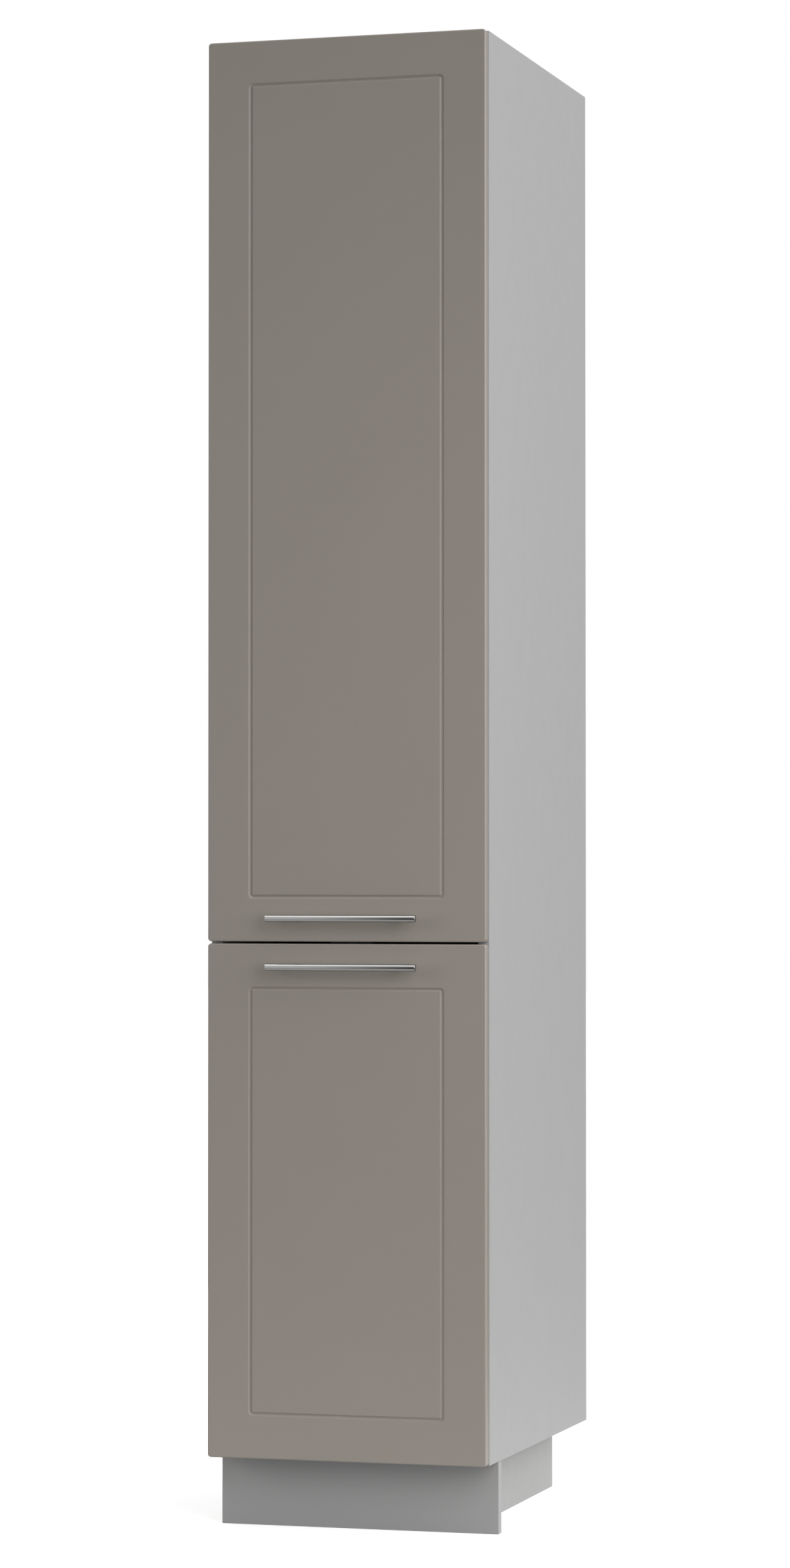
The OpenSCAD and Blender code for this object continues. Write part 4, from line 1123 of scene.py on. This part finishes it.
class LARDER_OT_guide(bpy.types.Operator):
    """Finish the top guide: channel, block and the two rollers"""
    bl_idname = "larder.guide"
    bl_label = "Top guide"

    BORE_R = 3.05 * MM
    SOFT = 1.0 * MM
    GROOVE = 0.3 * MM

    def execute(self, context):
        size = sizes()
        soften("guide_channel", size.sheet_edge)
        soften("guide_block", size.moulding_edge)
        for node in ("guide_roller_left", "guide_roller_right"):
            self.roller(node)
        return {"FINISHED"}

    def roller(self, node):
        low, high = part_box(node)
        radius, thick = (high.x - low.x) / 2, high.z - low.z
        bore, soft, groove, mid = self.BORE_R, self.SOFT, self.GROOVE, thick / 2
        work = bmesh.new()
        profile = [(0, bore), *rounding(soft, radius - soft, soft, -90, 0),
                   (mid - 2 * groove, radius), (mid - groove, radius - groove),
                   (mid + groove, radius - groove), (mid + 2 * groove, radius),
                   *rounding(thick - soft, radius - soft, soft, 0, 90), (thick, bore), (0, bore)]
        lathe(work, profile, underside(low, high), steps=40)
        place_piece(mesh_of(work, node + "_turned", sharp=40), node + "_turned", node)


class LARDER_OT_trays(bpy.types.Operator):
    """Make the trays: bent wire galleries, hanging plates with hooks, and laid-in boards"""
    bl_idname = "larder.trays"
    bl_label = "Trays"

    # How far a gallery wire reaches into the plate that it is welded to.
    WELD = 0.5 * MM
    BOARD_PLAY = 0.2 * MM
    BOARD_REST = 0.05 * MM
    PLATE = 2 * MM
    PLATE_WIDTH = 92 * MM
    PLATE_DROP = 18 * MM
    PLATE_EDGE = 0.5 * MM
    # Distance from the middle, width and height of a hook, and of a flat under the board.
    HOOK = (16 * MM, 5 * MM, 5 * MM)
    SUPPORT = (30 * MM, 14 * MM, 6 * MM)
    TONGUE = 8 * MM
    CROSS_SHARES = (0.12, 0.5, 0.88)

    def execute(self, context):
        for body in TRAYS:
            wire_node, board_node = body + "_wires", body + "_board"
            place_piece(self.gallery(wire_node, board_node), body + "_gallery", wire_node)
            plates = place_piece(self.plates(wire_node, board_node), body + "_hanging_plates", wire_node)
            round_edges(plates, self.PLATE_EDGE)
            soften(board_node, sizes().board_edge)
        return {"FINISHED"}

    def gallery(self, wire_node, board_node):
        size = sizes()
        wire_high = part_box(wire_node)[1]
        board_low, board_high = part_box(board_node)
        r, slot = size.wire / 2, SLOT_OF[wire_node]
        x = wire_high.x - r
        inset = r - self.WELD - self.BOARD_PLAY
        front, rear = board_low.y + inset, board_high.y - inset
        low_z, top_z = board_high.z + size.gallery_low, wire_high.z - r
        corners = [(-x, front), (x, front), (x, rear), (-x, rear)]
        loops = [[(a, b, z) for a, b in corners] for z in (low_z, top_z)]
        rings = wires(loops, r, size.gallery_corner, slot, closed=True)
        under = board_low.z - size.cross_wire / 2 - self.BOARD_REST
        crossings = []
        for share in self.CROSS_SHARES:
            y = front + share * (rear - front)
            crossings.append([(-x, y, top_z), (-x, y, under), (x, y, under), (x, y, top_z)])
        post_x = self.PLATE_WIDTH / 2 - size.wire
        posts = [[(side * post_x, y, low_z), (side * post_x, y, top_z)]
                 for side in (-1, 1) for y in (front, rear)]
        thin = size.cross_wire / 2
        return joined([rings, wires(crossings, thin, size.cross_bend, slot), wires(posts, thin, 0, slot)],
                      wire_node + "_gallery")

    def plates(self, wire_node, board_node):
        board_low, board_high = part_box(board_node)
        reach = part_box(wire_node)[0].y
        mid_y = (board_low.y + board_high.y) / 2
        plate_y = board_low.y - self.BOARD_PLAY - self.PLATE
        low_z, top_z = board_low.z - self.PLATE_DROP, board_high.z + sizes().gallery_low
        hook_x, hook_w, hook_h = self.HOOK
        hook_z = board_low.z - self.PLATE_DROP / 2
        support_x, support_w, support_t = self.SUPPORT
        half = self.PLATE_WIDTH / 2
        work = bmesh.new()

        def end_box(end, low, high):
            """A box at the front end, or its mirror image at the rear end."""
            ys = sorted(y if end < 0 else 2 * mid_y - y for y in (low[1], high[1]))
            box(work, (low[0], ys[0], low[2]), (high[0], ys[1], high[2]))

        for end in (-1, 1):
            end_box(end, (-half, plate_y, low_z), (half, plate_y + self.PLATE, top_z))
            for side in (-1, 1):
                xs = sorted((side * hook_x, side * (hook_x + hook_w)))
                end_box(end, (xs[0], reach, hook_z), (xs[1], plate_y, hook_z + hook_h))
                end_box(end, (xs[0], reach, hook_z - self.TONGUE), (xs[1], reach + self.PLATE, hook_z))
        for side in (-1, 1):
            xs = sorted((side * support_x, side * (support_x + support_w)))
            box(work, (xs[0], plate_y + self.PLATE, board_low.z - support_t),
                (xs[1], 2 * mid_y - plate_y - self.PLATE, board_low.z - self.BOARD_REST))
        return mesh_of(work, wire_node + "_plates")


class LARDER_OT_fittings(bpy.types.Operator):
    """Make the screws, bolts, rivets and bumpers, and finish the cams and dowels"""
    bl_idname = "larder.fittings"
    bl_label = "Fittings"

    CAM_EDGE = 0.3 * MM
    DOWEL_EDGE = 0.8 * MM
    DOME_STEPS = 6

    def execute(self, context):
        dress_fasteners("chipboard_screws", "cross", "cross")
        dress_fasteners("front_screws", "cross", "socket")
        dress_fasteners("carriage_screws", "dome", "hex")
        soften("cam_fittings", self.CAM_EDGE)
        soften("carcass_dowels", self.DOWEL_EDGE)
        self.bumpers("front_bumpers")
        return {"FINISHED"}

    def bumpers(self, node):
        places = []
        for points in solids_of(node):
            low, high = extent(points)
            places.append((Vector(((low.x + high.x) / 2, high.y, (low.z + high.z) / 2)), (0, -1, 0)))
            radius, thick = (high.x - low.x) / 2, high.y - low.y
        angles = [math.pi / 2 * i / self.DOME_STEPS for i in range(self.DOME_STEPS)]
        dome = [(thick * math.sin(a), radius * math.cos(a)) for a in angles]
        work = bmesh.new()
        lathe(work, [(0, 0), *dome, (thick, 0)], steps=24)
        place_piece(copies(mesh_of(work, "bumper"), places, SLOT_OF[node]), node + "_cast", node)


class LARDER_OT_stage(bpy.types.Operator):
    """Set the pale floor, the soft studio light and the camera"""
    bl_idname = "larder.stage"
    bl_label = "Stage"

    CAMERA_PLACE = (1.8146, -6.3027, 0.8971)
    CAMERA_YAW = 16.331
    CAMERA_PITCH = 1.229
    FOCAL_PX = 7432.1
    PRINCIPAL_PX = (615.2, 1272.2)
    IMAGE_PX = (1284, 2547)
    SENSOR_MM = 36.0
    # Brightness of the room for soft light: round about, overhead, and added from the right. The
    # overhead part starts and ends at these heights of its direction, and is brighter in gloss.
    HORIZON = 0.155
    OVERHEAD = 0.3
    OVERHEAD_SHEEN = 1.9
    OVERHEAD_EDGE = (0.7, 0.82)
    FROM_RIGHT = 3.1
    # Each softbox: its place, the point that it faces, its width and height, and its watts.
    SOFTBOXES = {
        "key_softbox": ((-3.2, -3.4, 1.7), (0, -0.26, 0.9), (1.6, 2.2), 34),
        "front_fill": ((0.95, -1.7, 1.15), (0.05, -0.26, 1.1), (0.6, 1.4), 7.6),
        "rear_softbox": ((-1.9, 2.9, 1.5), (-0.1, 0.2, 1.0), (1.6, 2.4), 55),
    }
    HANDLE_CARD = ((-0.64, -1.4, 1.2), (-0.64, -0.29, 1.2), (0.8, 2.4), 6.4)
    # How bright the card is, and where across it its light starts to fade and is gone.
    CARD_LEVEL = 0.7
    CARD_FADE = (0.8, 1.0)
    FLOOR_HALF = 30.0

    def execute(self, context):
        self.floor()
        self.camera(context)
        self.room(context)
        self.lamps(context)
        context.scene.view_settings.view_transform = "Standard"
        context.scene.view_settings.look = "None"
        return {"FINISHED"}

    def floor(self):
        half, z = self.FLOOR_HALF, CAD_BOX[0].z
        corners = [(-half, -half, z), (half, -half, z), (half, half, z), (-half, half, z)]
        mesh = bpy.data.meshes.new("studio_floor")
        mesh.from_pydata(corners, [], [(0, 1, 2, 3)])
        mesh.materials.append(finish("floor"))
        new_object("studio_floor", mesh)

    def camera(self, context):
        data = bpy.data.cameras.new("photo_camera")
        wide, high = self.IMAGE_PX
        data.sensor_width = self.SENSOR_MM
        data.lens = self.FOCAL_PX * self.SENSOR_MM / high
        data.shift_x = (wide / 2 - self.PRINCIPAL_PX[0]) / high
        data.shift_y = (self.PRINCIPAL_PX[1] - high / 2) / high
        data.clip_end = 100.0
        camera = new_object("photo_camera", data)
        camera.location = self.CAMERA_PLACE
        pitch, yaw = math.radians(90 + self.CAMERA_PITCH), math.radians(self.CAMERA_YAW)
        camera.rotation_euler = Euler((pitch, 0, yaw))
        context.scene.camera = camera

    def room(self, context):
        """The room's own light by direction: white to the lens, and a dim studio to the unit."""
        world = bpy.data.worlds.new("studio")
        context.scene.world = world
        world.use_nodes = True
        tree = world.node_tree
        tree.nodes.clear()
        path = add(tree, "ShaderNodeLightPath")
        ceiling = add(tree, "ShaderNodeMath", {
            0: path.outputs["Is Glossy Ray"], 1: self.OVERHEAD_SHEEN - self.OVERHEAD, 2: self.OVERHEAD},
            operation="MULTIPLY_ADD").outputs[0]
        direction = add(tree, "ShaderNodeTexCoord").outputs["Generated"]
        way = add(tree, "ShaderNodeSeparateXYZ", {"Vector": direction})
        overhead = add(tree, "ShaderNodeMapRange", {
            "Value": way.outputs["Z"], "From Min": self.OVERHEAD_EDGE[0], "From Max": self.OVERHEAD_EDGE[1],
            "To Min": self.HORIZON, "To Max": ceiling}, interpolation_type="SMOOTHSTEP")
        right = add(tree, "ShaderNodeMath", {0: way.outputs["X"], 1: 0.0}, operation="MAXIMUM")
        squared = add(tree, "ShaderNodeMath", {0: right.outputs[0], 1: 2.0}, operation="POWER")
        level = add(tree, "ShaderNodeMath", {
            0: squared.outputs[0], 1: self.FROM_RIGHT, 2: overhead.outputs[0]},
            operation="MULTIPLY_ADD").outputs[0]
        white = add(tree, "ShaderNodeBackground", {"Color": (1, 1, 1, 1), "Strength": 1.0})
        fill = add(tree, "ShaderNodeBackground", {"Color": (1, 1, 1, 1), "Strength": level})
        both = add(tree, "ShaderNodeMixShader", {
            0: path.outputs["Is Camera Ray"], 1: fill.outputs[0], 2: white.outputs[0]})
        add(tree, "ShaderNodeOutputWorld", {"Surface": both.outputs[0]})

    def lamps(self, context):
        """The softboxes, which no gloss mirrors, and a card that only the handles mirror."""
        for name, settings in self.SOFTBOXES.items():
            self.softbox(name, *settings).visible_glossy = False
        card = self.softbox("handle_card", *self.HANDLE_CARD)
        card.visible_diffuse = False
        card.light_linking.receiver_collection = bpy.data.collections.new("lit_by_the_card")
        for handle in [o for o in context.scene.objects if o.name.endswith("_handle_polished")]:
            card.light_linking.receiver_collection.objects.link(handle)
        self.fade(card.data)

    def softbox(self, name, place, aim, size, watts):
        data = bpy.data.lights.new(name, "AREA")
        data.shape = "RECTANGLE"
        data.size, data.size_y = size
        data.energy = watts
        light = new_object(name, data)
        light.location = place
        light.rotation_euler = (Vector(place) - Vector(aim)).to_track_quat("Z", "Y").to_euler()
        light.visible_camera = False
        return light

    def fade(self, data):
        """Lets a card's light fade out towards its right edge."""
        data.use_nodes = True
        tree = data.node_tree
        tree.nodes.clear()
        place = add(tree, "ShaderNodeNewGeometry").outputs["Parametric"]
        spot = add(tree, "ShaderNodeSeparateXYZ", {"Vector": place})
        faded = add(tree, "ShaderNodeMapRange", {
            "Value": spot.outputs["X"], "From Min": self.CARD_FADE[0], "From Max": self.CARD_FADE[1],
            "To Min": self.CARD_LEVEL, "To Max": 0.0})
        glow = add(tree, "ShaderNodeEmission", {"Strength": faded.outputs["Result"]})
        add(tree, "ShaderNodeOutputLight", {"Surface": glow.outputs[0]})


MAKERS = (
    LARDER_OT_carcass, LARDER_OT_plinth, LARDER_OT_feet, LARDER_OT_fronts, LARDER_OT_handles,
    LARDER_OT_runners, LARDER_OT_pull_out, LARDER_OT_guide, LARDER_OT_trays, LARDER_OT_fittings,
    LARDER_OT_stage,
)


class LARDER_PT_panel(bpy.types.Panel):
    """Lists the makers of the larder unit's pieces"""
    bl_idname = "LARDER_PT_panel"
    bl_label = "Larder unit"
    bl_space_type = "VIEW_3D"
    bl_region_type = "UI"
    bl_category = "Larder"

    def draw(self, context):
        layout = self.layout
        for group in (context.scene.larder_sizes, context.scene.larder_colours):
            column = layout.column(align=True)
            for name in group.bl_rna.properties.keys():
                if name not in ("rna_type", "name"):
                    column.prop(group, name)
        for maker in MAKERS:
            layout.operator(maker.bl_idname)


CLASSES = (LarderSizes, LarderColours, *MAKERS, LARDER_PT_panel)


def register():
    for cls in CLASSES:
        bpy.utils.register_class(cls)
    bpy.types.Scene.larder_sizes = bpy.props.PointerProperty(type=LarderSizes)
    bpy.types.Scene.larder_colours = bpy.props.PointerProperty(type=LarderColours)


def unregister():
    del bpy.types.Scene.larder_colours
    del bpy.types.Scene.larder_sizes
    for cls in reversed(CLASSES):
        bpy.utils.unregister_class(cls)


def main():
    register()
    for maker in MAKERS:
        group, name = maker.bl_idname.split(".")
        getattr(getattr(bpy.ops, group), name)()


if __name__ == "__main__":
    main()
